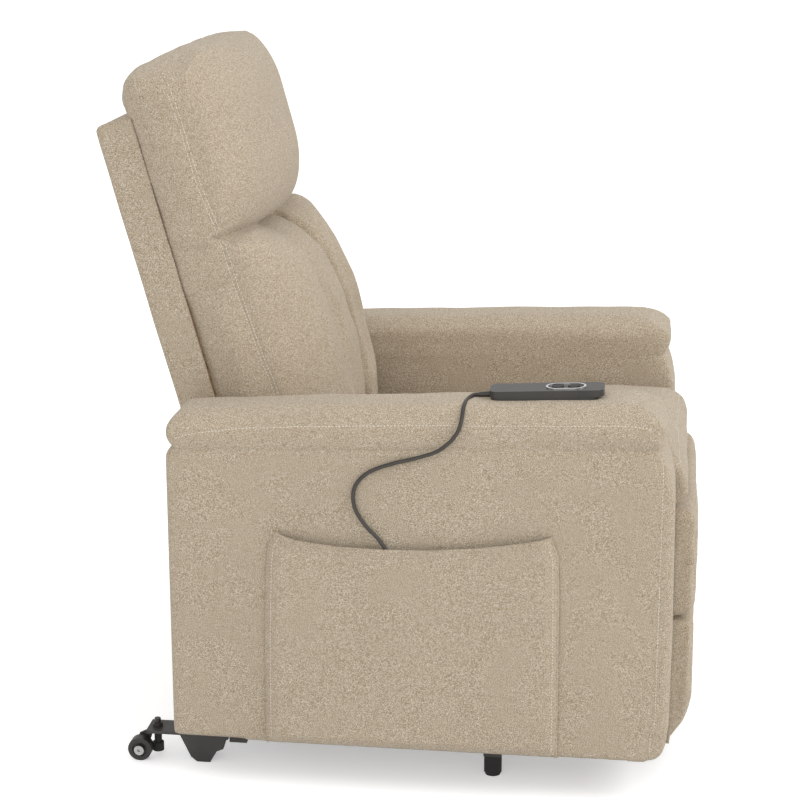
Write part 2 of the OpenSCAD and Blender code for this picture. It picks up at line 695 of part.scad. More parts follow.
module foot_pad(z0, z1, r0, r1) color(fabric_c) intersection() {
    slab(-foot_w / 2, foot_w / 2) polygon(concat(
        [[-foot_back - foot_board_t - touch, z0], [-foot_back - foot_board_t - touch, z1]],
        [for (a = [0 : 15 : 90]) [-foot_front + r1 - r1 * sin(a), z1 - r1 + r1 * cos(a)]],
        [for (a = [0 : 15 : 90]) [-foot_front + r0 - r0 * cos(a), z0 + r0 * 1.6 - r0 * 1.6 * sin(a)]]));
    translate([0, -foot_back, 0]) rotate([90, 0, 0]) linear_extrude(foot_pad_t + foot_board_t + 1)
        translate([-foot_w / 2, z0]) round_rect(foot_w, z1 - z0, 16);
}
module footrest_pad_upper() foot_pad(foot_seam + 1, foot_top_z, 9, 14);
module footrest_pad_lower() foot_pad(foot_low_z, foot_seam - 1, 24, 9);

// ---- back ----
rail_in = plate_out + 5;
module back_rails() color(wood_c) {
    difference() {
        back_frame() for (s = [-1, 1])
            box([s > 0 ? rail_in : -back_w / 2 + 4.5, -back_t + 4, -50],
                [s > 0 ? back_w / 2 - 4.5 : -rail_in, -5, back_h - 8]);
        bars_x(hinge, pin_r + run, plate_in, back_w / 2 - 7);
    }
    back_frame() for (z = [70, 330, back_h - 58])
        box([-rail_in + glue_gap, -back_t + 10, z], [rail_in - glue_gap, -back_t + 32, z + 50]);
}
module back_webbing() color("#6b6660") back_frame()
    for (z = [150, 215, 280, 420, 490])
        box([-rail_in - 12, -back_t, z], [rail_in + 12, -back_t + 4 - touch, z + 42]);
module back_lever() color(steel_c) {
    // Plates from the lower cross rail down to the back motor's rod
    for (s = [-1, 1]) difference() {
        slab(s * (clevis_gap / 2 + 2.5) - 2.5, s * (clevis_gap / 2 + 2.5) + 2.5) polygon([
            back_motor_end + [-12, 0], back_motor_end + [-6, -11], back_motor_end + [8, -10],
            back_motor_end + [13, 2],
            [286, 486], [272, 486]
        ]);
        bar_x(back_motor_end, pin_r, -60, 60);
        back_frame() box([-60, -back_t + 10, 70], [60, -back_t + 32, 120]);
    }
    bar_x(back_motor_end, pin_r, -clevis_gap / 2 - 6, clevis_gap / 2 + 6);
}
module back_cover() color(fabric_c) back_frame() difference() {
    slab(-back_w / 2, back_w / 2) polygon([
        [0, -54], [0, back_h - 6], [-4, back_h], [-back_t, back_h + 4], [-back_t, -54]
    ]);
    box([-back_w / 2 + 4, -back_t - 1, -60], [back_w / 2 - 4, -4.5, back_h - 4]);
}
module back_side_cushions() color(fabric_c) back_frame()
    for (s = [-1, 1]) intersection() {
        slab(s > 0 ? lumbar_w / 2 + 1 : -back_w / 2 + 3, s > 0 ? back_w / 2 - 3 : -lumbar_w / 2 - 1) polygon([
            [-back_t - touch, cushion_low], [side_front + 32, cushion_low], [side_front + 10, cushion_low + 18],
            [side_front, 95], [side_front + 2, 165], [side_front + 6, 209], [side_front + 13, 264],
            [side_front + 27, 320], [side_front + 45, 358], [side_front + 62, 377],
            [side_front + 94, cushion_top], [-back_t - touch, cushion_top]
        ]);
        // Bowed front, seen along the back's slope, and rounded corners, seen from in front
        bowed_block(back_w / 2 - 3, side_front, 106, cushion_low - 1, cushion_top + 1);
        rotate([90, 0, 0]) linear_extrude(400)
            translate([-back_w / 2 + 3, cushion_low]) round_rect(back_w - 6, cushion_top - cushion_low, 14);
    }
side_front = -back_t - bolster_t;
// An upright block whose front is bowed, half an ellipse in plan: half width, front and depth of the bow
module bowed_block(half, front, depth, z0, z1) translate([0, 0, z0]) linear_extrude(z1 - z0) polygon(concat(
    [[-half, 0]],
    [for (a = [-90 : 10 : 90]) [half * sin(a), front + depth * (1 - cos(a))]],
    [[half, 0]]));
// The middle cushion lies between the side cushions, a little behind their front
module back_lumbar_cushion() color(fabric_c) back_frame()
    slab(-lumbar_w / 2, lumbar_w / 2) polygon([
        [-back_t - touch, cushion_low], [side_front + 36, cushion_low], [side_front + 12, cushion_low + 18],
        [side_front + 4, 78], [side_front + 10, 143], [side_front + 16, 207], [side_front + 19, 270],
        [side_front + 20, 333], [side_front + 24, 380], [side_front + 34, cushion_top],
        [-back_t - touch, cushion_top]
    ]);
// Head pillow: bowed in front and on top, with a lip that overhangs the lower cushions
pillow_front = -237;
module head_pillow() color(fabric_c) back_frame() intersection() {
    slab(-pillow_w / 2, pillow_w / 2) translate([0, pillow_low]) polygon([
        [-back_t - touch, 0], [-178, 0], [-202, 10], [-217, 30], [-225, 56], [pillow_front + 3, 112],
        [pillow_front, 184],
        [pillow_front + 4, pillow_h - 70], [pillow_front + 15, pillow_h - 38], [pillow_front + 34, pillow_h - 15],
        [pillow_front + 60, pillow_h], [-132, pillow_h], [-106, pillow_h - 4], [-84, pillow_h - 16],
        [-70, pillow_h - 34], [-back_t - touch, pillow_h - 56]
    ]);
    bowed_block(pillow_w / 2, pillow_front, 70, pillow_low - 1, pillow_low + pillow_h + 1);
    rotate([90, 0, 0]) linear_extrude(300) translate([0, pillow_low]) polygon(concat(
        [[pillow_w / 2 - 10, 0], [-pillow_w / 2 + 10, 0], [-pillow_w / 2, 12]],
        [for (a = [-90 : 10 : 90]) [pillow_w / 2 * sin(a), pillow_h + 0.5 - 46 * (1 - cos(a))]],
        [[pillow_w / 2, 12]]));
}

// ---- back motor ----
back_tube_r = 17;
// Where the bore for the rod begins, past the motor's pivot
back_bore = 16;
module back_motor() color(plastic_c) along(0, back_motor_front, back_motor_end) {
    l = norm(back_motor_end - back_motor_front);
    difference() {
        union() {
            translate([-22, -24, -22]) cube([44, 48, 60]);
            translate([-22, 0, 14]) rotate([0, -90, 0]) cylinder(r = 19, h = 44);
            cylinder(r = back_tube_r, h = l - 90);
        }
        translate([-90, 0, 0]) rotate([0, 90, 0]) cylinder(r = pin_r + run, h = 180);
        translate([0, 0, back_bore]) cylinder(r = rod_r + run, h = l);
    }
}
module back_motor_rod() color("silver") along(0, back_motor_front, back_motor_end) {
    l = norm(back_motor_end - back_motor_front);
    difference() {
        union() {
            translate([0, 0, back_bore + 75]) cylinder(r = rod_r, h = l - back_bore - 75 - 6);
            translate([-clevis_gap / 2 + touch, 0, l]) rotate([0, 90, 0])
                cylinder(r = 14, h = clevis_gap - 2 * touch);
        }
        translate([-60, 0, l]) rotate([0, 90, 0]) cylinder(r = pin_r + loop_play, h = 120);
    }
}

// ---- handset ----
// The handset's own frame: y along its length with the cord at +y, z up from the arm pad
module handset_frame() translate([handset_x, handset_y, handset_z]) rotate([-handset_tilt, 0, 0])
    children();
shell_t = 2;
button_x = [14, 9];
button_y = [-40, -16];
// The base ends this far short of the lid, at the front
base_short = 7;
module handset_outline(inset, short) translate([-handset_w / 2 + inset, -handset_l / 2 + inset + short])
    round_rect(handset_w - 2 * inset, handset_l - 2 * inset - short, 12 - inset);
module handset_base() color(plastic_c) handset_frame() difference() {
    union() {
        translate([0, 7, 0]) linear_extrude(2) square([handset_w - 8, handset_l - 26], center = true);
        translate([0, 0, 2]) linear_extrude(split_z - 2) handset_outline(1, base_short);
    }
    translate([0, 0, 3]) linear_extrude(split_z) handset_outline(1 + shell_t, base_short);
    translate([0, handset_l / 2 - 8, split_z]) rotate([-90, 0, 0]) cylinder(r = 4.5, h = 20);
}
module handset_lid() color(plastic_c) handset_frame() difference() {
    translate([0, 0, split_z]) linear_extrude(handset_t - split_z) handset_outline(0, 0);
    translate([0, 0, split_z - 1]) linear_extrude(handset_t - split_z - shell_t + 1)
        handset_outline(shell_t, base_short);
    for (y = button_y) translate([0, y, 0]) cylinder(r = button_x[1] + 0.3, h = 40);
    translate([0, handset_l / 2 - 8, split_z]) rotate([-90, 0, 0]) cylinder(r = 4.5, h = 20);
}
module handset_ring() color("silver") handset_frame() translate([0, 0, handset_t]) difference() {
    linear_extrude(1.6) translate([-17, button_y[0] - 18]) round_rect(34, button_y[1] - button_y[0] + 36, 16.9);
    translate([0, 0, -1]) linear_extrude(4)
        translate([-14, button_y[0] - 15]) round_rect(28, button_y[1] - button_y[0] + 30, 13.9);
}
module button(y) color("#262422") handset_frame() translate([0, y, 0]) {
    translate([0, 0, handset_t - shell_t - 2.5]) cylinder(r = button_x[1], h = shell_t + 2.5 + 2);
    translate([0, 0, handset_t - shell_t - 2.5]) cylinder(r = button_x[1] + 1.2, h = 1.2);
}
module button_up() button(button_y[0]);
module button_down() button(button_y[1]);

// A tapered sleeve from the handset's rear end to the cord
module handset_strain_relief() color(plastic_c) {
    handset_frame() translate([0, handset_l / 2 - relief_in, split_z]) rotate([-90, 0, 0]) {
        cylinder(r = 4.5 - run, h = relief_in);
        translate([0, 0, relief_in]) cylinder(r1 = 5, r2 = cord_r + 0.6, h = relief_l);
    }
}

// ---- cord ----
// A smooth curve through the route's points (Catmull-Rom)
function clamp_i(i) = max(0, min(len(cord_route) - 1, i));
function spline(i, t) = let (a = cord_route[clamp_i(i - 1)], b = cord_route[i], c = cord_route[clamp_i(i + 1)],
    d = cord_route[clamp_i(i + 2)])
    0.5 * (2 * b + (c - a) * t + (2 * a - 5 * b + 4 * c - d) * t * t + (3 * b - a - 3 * c + d) * t * t * t);
function cord_steps(i) = norm(cord_route[i + 1] - cord_route[i]) > 22 ? 2 : 1;
cord_path = concat(
    [for (i = [0 : len(cord_route) - 2]) for (j = [0 : cord_steps(i) - 1]) spline(i, j / cord_steps(i))],
    [cord_end]);
function unit(v) = v / norm(v);
function path_dir(i) = unit(cord_path[min(i + 1, len(cord_path) - 1)] - cord_path[max(i - 1, 0)]);
// One ring of points round the cord, square to its run
function ring(i) =
    let (d = path_dir(i), s = unit(cross(d, abs(d[0]) > 0.8 ? [0, 1, 0] : [1, 0, 0])), u = cross(s, d))
    [for (k = [0 : cord_sides - 1]) let (a = 360 * k / cord_sides)
        cord_path[i] + cord_r * (s * cos(a) + u * sin(a))];
module handset_cord() color("#37342f") {
    n = len(cord_path);
    m = cord_sides;
    polyhedron(
        points = [for (i = [0 : n - 1]) each ring(i)],
        faces = concat(
            [[for (k = [m - 1 : -1 : 0]) k]],
            [for (i = [0 : n - 2]) for (k = [0 : m - 1])
                [i * m + k, i * m + (k + 1) % m, (i + 1) * m + (k + 1) % m, (i + 1) * m + k]],
            [[for (k = [0 : m - 1]) (n - 1) * m + k]]));
}

base_side_tubes();
base_cross_tubes();
lift_uprights();
base_pivot_pins();
floor_feet();
wheel_brackets();
wheel_axles();
power_supply();
wheel_right();
wheel_left();
lift_arms();
lift_crossbar();
guide_links();
lift_motor();
lift_motor_rod();
side_plates();
chassis_crossbars();
chassis_pivot_pins();
seat_rails();
seat_springs();
seat_cushion();
arm_boards_right();
arm_boards_left();
arm_cover_right();
arm_cover_left();
arm_pad_right();
arm_pad_left();
rear_panel();
side_pocket();
cord_grommet();
control_box();
footrest_track();
footrest_motor();
footrest_drive_tube();
footrest_drive_links();
footrest_support_links();
footrest_long_links();
footrest_twin_links();
footrest_carriage();
footrest_push_link();
footrest_brackets();
footrest_board();
footrest_pad_upper();
footrest_pad_lower();
back_rails();
back_webbing();
back_lever();
back_cover();
back_lumbar_cushion();
back_side_cushions();
head_pillow();
back_motor();
back_motor_rod();
handset_base();
handset_lid();
handset_ring();
button_up();
button_down();
handset_strain_relief();
handset_cord();
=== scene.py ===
"""Looks of the lift recliner chair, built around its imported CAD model.

Metres. +Z is up, the sitter faces -Y, and the sitter's right hand is at -X.
"""
import json
import math

import bmesh
import bpy
import numpy as np
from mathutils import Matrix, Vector, noise
from mathutils.bvhtree import BVHTree


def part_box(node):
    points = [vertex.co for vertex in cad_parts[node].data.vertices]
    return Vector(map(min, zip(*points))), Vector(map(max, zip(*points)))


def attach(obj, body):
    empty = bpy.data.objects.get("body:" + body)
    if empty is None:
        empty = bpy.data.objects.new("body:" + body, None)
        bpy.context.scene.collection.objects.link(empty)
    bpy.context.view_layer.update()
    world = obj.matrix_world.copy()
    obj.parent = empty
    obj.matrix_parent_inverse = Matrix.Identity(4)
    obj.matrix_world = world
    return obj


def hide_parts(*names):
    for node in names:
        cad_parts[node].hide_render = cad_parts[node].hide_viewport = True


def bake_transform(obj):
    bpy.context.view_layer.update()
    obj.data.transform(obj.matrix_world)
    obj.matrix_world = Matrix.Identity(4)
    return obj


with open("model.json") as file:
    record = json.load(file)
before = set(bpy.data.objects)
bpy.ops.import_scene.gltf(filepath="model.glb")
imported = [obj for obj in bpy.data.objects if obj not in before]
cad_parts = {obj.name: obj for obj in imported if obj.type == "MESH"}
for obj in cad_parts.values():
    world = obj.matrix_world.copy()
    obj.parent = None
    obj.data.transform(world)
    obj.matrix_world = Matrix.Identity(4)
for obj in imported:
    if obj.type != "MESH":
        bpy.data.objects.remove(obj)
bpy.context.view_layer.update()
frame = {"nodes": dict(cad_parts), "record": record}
MM = 0.001

# ---- camera, at the photograph's viewing angle ----
CAMERA_AT = (-3.192, -0.393, 1.386)
CAMERA_PITCH, CAMERA_YAW, CAMERA_LENS = 15, 7.5, 90

camera = bpy.data.objects.new("camera", bpy.data.cameras.new("camera"))
camera.data.lens, camera.data.sensor_width = CAMERA_LENS, 36
camera.location = CAMERA_AT
camera.rotation_euler = (math.radians(90 - CAMERA_PITCH), 0, math.radians(CAMERA_YAW - 90))
bpy.context.collection.objects.link(camera)
bpy.context.scene.camera = camera
bpy.context.scene.view_settings.view_transform = "Standard"


# ---- meshes ----
def add_object(name, verts, faces, smooth=True):
    mesh = bpy.data.meshes.new(name)
    mesh.from_pydata([tuple(v) for v in verts], [], faces)
    mesh.update()
    if smooth:
        mesh.polygons.foreach_set("use_smooth", [True] * len(mesh.polygons))
    obj = bpy.data.objects.new(name, mesh)
    bpy.context.collection.objects.link(obj)
    return obj


def coords(obj):
    co = np.zeros(len(obj.data.vertices) * 3)
    obj.data.vertices.foreach_get("co", co)
    return co.reshape(-1, 3)


def set_coords(obj, co):
    obj.data.vertices.foreach_set("co", np.asarray(co, float).ravel())
    obj.data.update()


def normals(obj):
    out = np.zeros(len(obj.data.vertices) * 3)
    obj.data.vertex_normals.foreach_get("vector", out)
    return out.reshape(-1, 3)


def apply_modifiers(obj):
    """Bakes the modifiers into the mesh."""
    graph = bpy.context.evaluated_depsgraph_get()
    mesh = bpy.data.meshes.new_from_object(obj.evaluated_get(graph))
    obj.modifiers.clear()
    obj.data = mesh
    mesh.polygons.foreach_set("use_smooth", [True] * len(mesh.polygons))
    mesh.update()


def modify(obj, kind, **settings):
    modifier = obj.modifiers.new(kind.lower(), kind)
    for key, value in settings.items():
        setattr(modifier, key, value)
    apply_modifiers(obj)


def relax(obj, times, share=0.5):
    """Moves every point towards the middle of its neighbours, which rounds the edges off."""
    co = coords(obj)
    edges = np.array([e.vertices[:] for e in obj.data.edges])
    count = np.bincount(edges.ravel(), minlength=len(co))[:, None].clip(1)
    for _ in range(times):
        total = np.zeros_like(co)
        np.add.at(total, edges[:, 0], co[edges[:, 1]])
        np.add.at(total, edges[:, 1], co[edges[:, 0]])
        co += share * (total / count - co)
    set_coords(obj, co)


def ease(share):
    """A soft start and end for a share that runs from 0 to 1."""
    return share * share * (3 - 2 * share)


def round_off(share):
    """Fall of a rounded edge, from 0 where it starts to 1 at its end, along a quarter circle."""
    return 1 - np.sqrt(1 - share.clip(0, 1) ** 2)


def copy_nodes(name, *names):
    """One object with the meshes of these CAD nodes."""
    bm = bmesh.new()
    for node in names:
        bm.from_mesh(frame["nodes"][node].data)
    mesh = bpy.data.meshes.new(name)
    bmesh.ops.remove_doubles(bm, verts=bm.verts, dist=0.01 * MM)
    bm.to_mesh(mesh)
    bm.free()
    mesh.materials.clear()
    obj = bpy.data.objects.new(name, mesh)
    bpy.context.collection.objects.link(obj)
    return obj


def slab(name, outline, x0, x1):
    """A solid block from an outline of (y, z) points, between two X planes."""
    n = len(outline)
    verts = [(x, y, z) for x in (x0, x1) for y, z in outline]
    sides = [(i, (i + 1) % n, n + (i + 1) % n, n + i) for i in range(n)]
    obj = add_object(name, verts, [tuple(range(n - 1, -1, -1)), tuple(range(n, 2 * n)), *sides])
    bm = bmesh.new()
    bm.from_mesh(obj.data)
    bmesh.ops.recalc_face_normals(bm, faces=bm.faces)
    bm.to_mesh(obj.data)
    bm.free()
    return obj


def cut_faces(obj, picked):
    """Deletes the faces whose middle and normal are picked."""
    bm = bmesh.new()
    bm.from_mesh(obj.data)
    gone = [f for f in bm.faces if picked(f.calc_center_median(), f.normal)]
    bmesh.ops.delete(bm, geom=gone, context="FACES")
    bm.to_mesh(obj.data)
    bm.free()
    obj.data.update()


def ripple(co, size, seed):
    """A smooth random value from about -1 to 1 at each point, with waves of that size."""
    shift = Vector((seed * 3.7, seed * 1.3, seed * 2.1))
    return np.array([noise.noise(Vector(c) / size + shift) for c in co]) * 2


def distance_to(co, path):
    """Distance from each point to a run of straight lines, and how far along it the nearest place is."""
    path = np.asarray(path, float)
    best = np.full(len(co), 1e9)
    along = np.zeros(len(co))
    lengths = np.linalg.norm(np.diff(path, axis=0), axis=1)
    start = 0
    for a, b, length in zip(path[:-1], path[1:], lengths):
        t = (((co - a) @ (b - a)) / max(length, 1e-9) ** 2).clip(0, 1)
        d = np.linalg.norm(co - a - t[:, None] * (b - a), axis=1)
        near = d < best
        best[near] = d[near]
        along[near] = start + t[near] * length
        start += length
    return best, along


def press(obj, path, width, depth):
    """Presses a seam into the surface along a path: a narrow valley of that width and depth."""
    co, d = coords(obj), None
    d, _ = distance_to(co, path)
    set_coords(obj, co - normals(obj) * (depth * np.exp(-((d / width) ** 2)))[:, None])


def gather(obj, path, reach, pitch, depth, side=None):
    """Small folds that run off a seam and die out over reach."""
    co = coords(obj)
    d, along = distance_to(co, path)
    wave = np.sin(2 * math.pi * along / pitch + 1.5 * ripple(co, 3 * pitch, 5))
    fade = np.exp(-((d / reach) ** 2))
    if side is not None:
        fade = fade * side(co)
    set_coords(obj, co + normals(obj) * (depth * wave * fade)[:, None])


# How far from a sewn edge the cloth is held back by it
SEWN_REACH = 24 * MM


def puff(obj, pressure, cap, frames=20, sewn=None):
    """Blows a closed mesh up as cloth, with no point further than cap from where it started.

    sewn gives each point's distance from the edge that is sewn down, which stays where it is.
    """
    start = coords(obj)
    cloth = obj.modifiers.new("cloth", "CLOTH")
    cloth.settings.use_pressure = True
    cloth.settings.uniform_pressure_force = pressure
    cloth.settings.effector_weights.gravity = 0
    cloth.settings.quality = 4
    cloth.settings.mass = 0.3
    cloth.settings.tension_stiffness = cloth.settings.compression_stiffness = 12
    cloth.settings.bending_stiffness = 0.6
    cloth.collision_settings.use_self_collision = False
    for i in range(1, frames + 1):
        bpy.context.scene.frame_set(i)
    graph = bpy.context.evaluated_depsgraph_get()
    blown = obj.evaluated_get(graph).to_mesh()
    end = np.zeros(len(start) * 3)
    blown.vertices.foreach_get("co", end)
    move = end.reshape(-1, 3) - start
    if sewn is not None:
        free = (sewn(start) / SEWN_REACH).clip(0, 1)
        move *= ease(free)[:, None]
    length = np.linalg.norm(move, axis=1, keepdims=True).clip(1e-9)
    obj.modifiers.clear()
    set_coords(obj, start + move * np.minimum(1, cap * np.tanh(length / cap) / length))
    bpy.context.scene.frame_set(1)


def hold(obj, low=(None,) * 3, high=(None,) * 3, soft=3 * MM, to_local=None):
    """Keeps a piece inside limits, as its neighbours do: it flattens where it meets them."""
    co = coords(obj)
    if to_local:
        co = to_local(co)
    for axis in range(3):
        for limit, sign in ((low[axis], -1), (high[axis], 1)):
            if limit is None:
                continue
            over = sign * (co[:, axis] - limit) + soft
            past = over > 0
            co[past, axis] = limit + sign * (soft * np.tanh(over[past] / soft) - soft)
    if to_local:
        co = to_local(co, back=True)
    set_coords(obj, co)


# The back's own frame: y along its thickness with the front at -y, z up its slope
BACK_FOOT = np.array((0, 0.300, 0.400))
BACK_LEAN = math.radians(15.4)


def back_local(co, back=False):
    c, s = math.cos(BACK_LEAN), math.sin(BACK_LEAN)
    turn = np.array(((1, 0, 0), (0, c, -s), (0, s, c)))
    return co @ turn + BACK_FOOT if back else (co - BACK_FOOT) @ turn.T


def from_back(x, y, z):
    return tuple(back_local(np.array(((x, y, z),)), back=True)[0])


# ---- materials ----
def srgb(r, g, b):
    """A colour given in 0 to 255, in the linear values that shaders take."""
    linear = [(c / 255 / 12.92) if c <= 10 else ((c / 255 + 0.055) / 1.055) ** 2.4 for c in (r, g, b)]
    return (*linear, 1)


class Shader:
    """A material and short ways to add nodes to it."""

    def __init__(self, name, roughness, metallic=0.0, **sockets):
        self.material = bpy.data.materials.new(name)
        self.material.use_nodes = True
        self.tree = self.material.node_tree
        self.bsdf = self.tree.nodes["Principled BSDF"]
        self.bsdf.inputs["Roughness"].default_value = roughness
        self.bsdf.inputs["Metallic"].default_value = metallic
        for key, value in sockets.items():
            self.bsdf.inputs[key.replace("_", " ")].default_value = value
        self.where = self.tree.nodes.new("ShaderNodeTexCoord").outputs["Object"]

    def link(self, a, b):
        self.tree.links.new(a, b)

    def noise(self, scale, detail=2, roughness=0.5, stretch=(1, 1, 1)):
        mapping = self.tree.nodes.new("ShaderNodeMapping")
        mapping.inputs["Scale"].default_value = stretch
        self.link(self.where, mapping.inputs["Vector"])
        node = self.tree.nodes.new("ShaderNodeTexNoise")
        node.inputs["Scale"].default_value = scale
        node.inputs["Detail"].default_value = detail
        node.inputs["Roughness"].default_value = roughness
        self.link(mapping.outputs["Vector"], node.inputs["Vector"])
        return node.outputs["Fac"]

    def wave(self, scale, distortion, stretch=(1, 1, 1), detail=2):
        mapping = self.tree.nodes.new("ShaderNodeMapping")
        mapping.inputs["Scale"].default_value = stretch
        self.link(self.where, mapping.inputs["Vector"])
        node = self.tree.nodes.new("ShaderNodeTexWave")
        node.inputs["Scale"].default_value = scale
        node.inputs["Distortion"].default_value = distortion
        node.inputs["Detail"].default_value = detail
        self.link(mapping.outputs["Vector"], node.inputs["Vector"])
        return node.outputs["Fac"]

    def ramp(self, fac, stops):
        node = self.tree.nodes.new("ShaderNodeValToRGB")
        ramp = node.color_ramp
        while len(ramp.elements) < len(stops):
            ramp.elements.new(0.5)
        for element, (at, colour) in zip(ramp.elements, stops):
            element.position, element.color = at, colour
        self.link(fac, node.inputs["Fac"])
        return node.outputs["Color"]

    def mix(self, fac, a, b, blend="MIX"):
        node = self.tree.nodes.new("ShaderNodeMix")
        node.data_type, node.blend_type = "RGBA", blend
        for value, socket in ((fac, node.inputs[0]), (a, node.inputs[6]), (b, node.inputs[7])):
            if isinstance(value, bpy.types.NodeSocket):
                self.link(value, socket)
            else:
                socket.default_value = value
        return node.outputs[2]

    def add(self, a, b, share):
        node = self.tree.nodes.new("ShaderNodeMath")
        node.operation = "MULTIPLY_ADD"
        self.link(b, node.inputs[0])
        node.inputs[1].default_value = share
        self.link(a, node.inputs[2])
        return node.outputs[0]

    def colour(self, socket):
        self.link(socket, self.bsdf.inputs["Base Color"])
        return self

    def rough(self, fac, low, high):
        node = self.tree.nodes.new("ShaderNodeMapRange")
        node.inputs["To Min"].default_value, node.inputs["To Max"].default_value = low, high
        self.link(fac, node.inputs["Value"])
        self.link(node.outputs["Result"], self.bsdf.inputs["Roughness"])
        return self

    def bump(self, height, distance, strength=1.0):
        node = self.tree.nodes.new("ShaderNodeBump")
        node.inputs["Distance"].default_value = distance
        node.inputs["Strength"].default_value = strength
        self.link(height, node.inputs["Height"])
        self.link(node.outputs["Normal"], self.bsdf.inputs["Normal"])
        return self


def grey(value):
    return (value, value, value, 1)


def chenille(name):
    """Heathered beige upholstery: fine light and brown yarn ends over soft tan and grey-beige streaks."""
    s = Shader(name, 0.95, Sheen_Weight=0.2, Sheen_Roughness=0.5, Specular_IOR_Level=0.2)
    yarn = s.noise(1, 1, 0.6, (900, 900, 1100))
    flecks = s.ramp(yarn, [(0.34, srgb(112, 92, 68)), (0.46, srgb(168, 150, 124)),
                           (0.54, srgb(187, 172, 149)), (0.66, srgb(236, 228, 214))])
    streaks = s.ramp(s.noise(1, 2, 0.6, (150, 150, 480)),
                     [(0.34, srgb(166, 146, 118)), (0.66, srgb(198, 185, 166))])
    cloth = s.mix(0.3, flecks, streaks)
    tone = s.ramp(s.noise(6, 3), [(0.3, grey(0.97)), (0.7, grey(1.0))])
    s.colour(s.mix(1.0, cloth, tone, "MULTIPLY"))
    height = s.add(yarn, s.noise(1, 2, 0.6, (1500, 1500, 1500)), 0.5)
    return s.bump(height, 1.2 * MM, 0.8).material


def thread(name):
    s = Shader(name, 0.8, Sheen_Weight=0.3)
    s.colour(s.ramp(s.noise(800), [(0.3, srgb(222, 214, 198)), (0.7, srgb(246, 241, 230))]))
    return s.bump(s.wave(600, 2), 0.2 * MM).material


def moulded(name, colour, roughness, grain=900):
    """Fine-textured moulded plastic or rubber."""
    s = Shader(name, roughness)
    fine = s.noise(grain, 3, 0.6)
    dark = tuple(c * 0.82 for c in colour[:3]) + (1,)
    light = tuple(min(1, c * 1.18) for c in colour[:3]) + (1,)
    s.colour(s.ramp(s.noise(28, 4), [(0.3, dark), (0.7, light)]))
    return s.rough(fine, roughness - 0.06, roughness + 0.08).bump(fine, 0.15 * MM, 0.5).material


def powder_coat(name):
    s = Shader(name, 0.5, Coat_Weight=0.08)
    peel = s.noise(420, 3, 0.6)
    s.colour(s.ramp(s.noise(18, 4), [(0.3, srgb(38, 35, 32)), (0.7, srgb(52, 48, 44))]))
    return s.rough(s.noise(60, 4), 0.42, 0.58).bump(peel, 0.18 * MM, 0.6).material


def zinc(name):
    s = Shader(name, 0.34, 1.0)
    spangle = s.noise(160, 3, 0.7)
    s.colour(s.ramp(spangle, [(0.3, grey(0.34)), (0.7, grey(0.46))]))
    return s.rough(s.noise(300, 3, 0.6, (1, 1, 6)), 0.26, 0.44).bump(spangle, 0.06 * MM, 0.4).material


def plywood(name):
    s = Shader(name, 0.72)
    grain = s.wave(2.2, 7, (1, 22, 3), 3)
    pores = s.noise(500, 3, 0.7, (1, 0.12, 1))
    wood = s.ramp(grain, [(0.0, srgb(203, 170, 122)), (0.6, srgb(216, 186, 140)), (1.0, srgb(180, 143, 96))])
    s.colour(s.mix(0.25, wood, s.ramp(pores, [(0.35, srgb(150, 116, 76)), (0.6, srgb(222, 196, 152))])))
    return s.bump(pores, 0.2 * MM, 0.6).material


def webbing_cloth(name):
    s = Shader(name, 0.9, Sheen_Weight=0.2)
    rib = s.wave(420, 0.5, (0.2, 1, 1))
    s.colour(s.ramp(rib, [(0.2, srgb(84, 79, 72)), (0.8, srgb(126, 120, 110))]))
    return s.bump(rib, 0.5 * MM, 0.8).material


FABRIC = chenille("chenille")
THREAD = thread("stitching_thread")
BLACK_STEEL = powder_coat("black_powder_coat")
ZINC = zinc("zinc_plate")
WOOD = plywood("plywood")
WEBBING = webbing_cloth("elastic_webbing")
HOUSING = moulded("motor_housing", srgb(40, 39, 38), 0.5)
RUBBER = moulded("foot_rubber", srgb(32, 31, 30), 0.75, 500)
WHEEL = moulded("wheel_plastic", srgb(40, 37, 34), 0.45)
SHELL = moulded("handset_plastic", srgb(48, 45, 41), 0.38, 1500)
BUTTON = moulded("button_rubber", srgb(44, 42, 40), 0.6, 1200)
JACKET = moulded("cord_jacket", srgb(55, 51, 46), 0.42, 700)


def satin(name):
    s = Shader(name, 0.24, 1.0)
    brushed = s.noise(700, 2, 0.6, (1, 0.1, 1))
    s.colour(s.ramp(brushed, [(0.3, grey(0.66)), (0.7, grey(0.80))]))
    return s.rough(brushed, 0.2, 0.32).bump(brushed, 0.03 * MM, 0.3).material


SATIN = satin("satin_silver")

SLOT_FINISH = {
    "upholstery": FABRIC,
    "plywood": WOOD,
    "zinc_steel": ZINC,
    "webbing": WEBBING,
    "rubber_feet": RUBBER,
    "wheel_plastic": WHEEL,
    "black_plastic": HOUSING,
    "handset_plastic": SHELL,
    "silver_trim": SATIN,
    "button_rubber": BUTTON,
    "cord_jacket": JACKET,
    "black_steel": BLACK_STEEL,
}
for part in frame["record"]["subparts"]:
    finish = SLOT_FINISH[part["material_slot"]]
    materials = frame["nodes"][part["node"]].data.materials
    materials.clear()
    materials.append(finish)


def dress(obj, body, slot, *nodes, fill=None):
    """Gives a finished piece its material and its body, and hides the CAD nodes that it stands for."""
    obj.data.materials.clear()
    obj.data.materials.append(SLOT_FINISH[slot])
    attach(obj, body)
    if nodes:
        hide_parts(*nodes)
    return obj


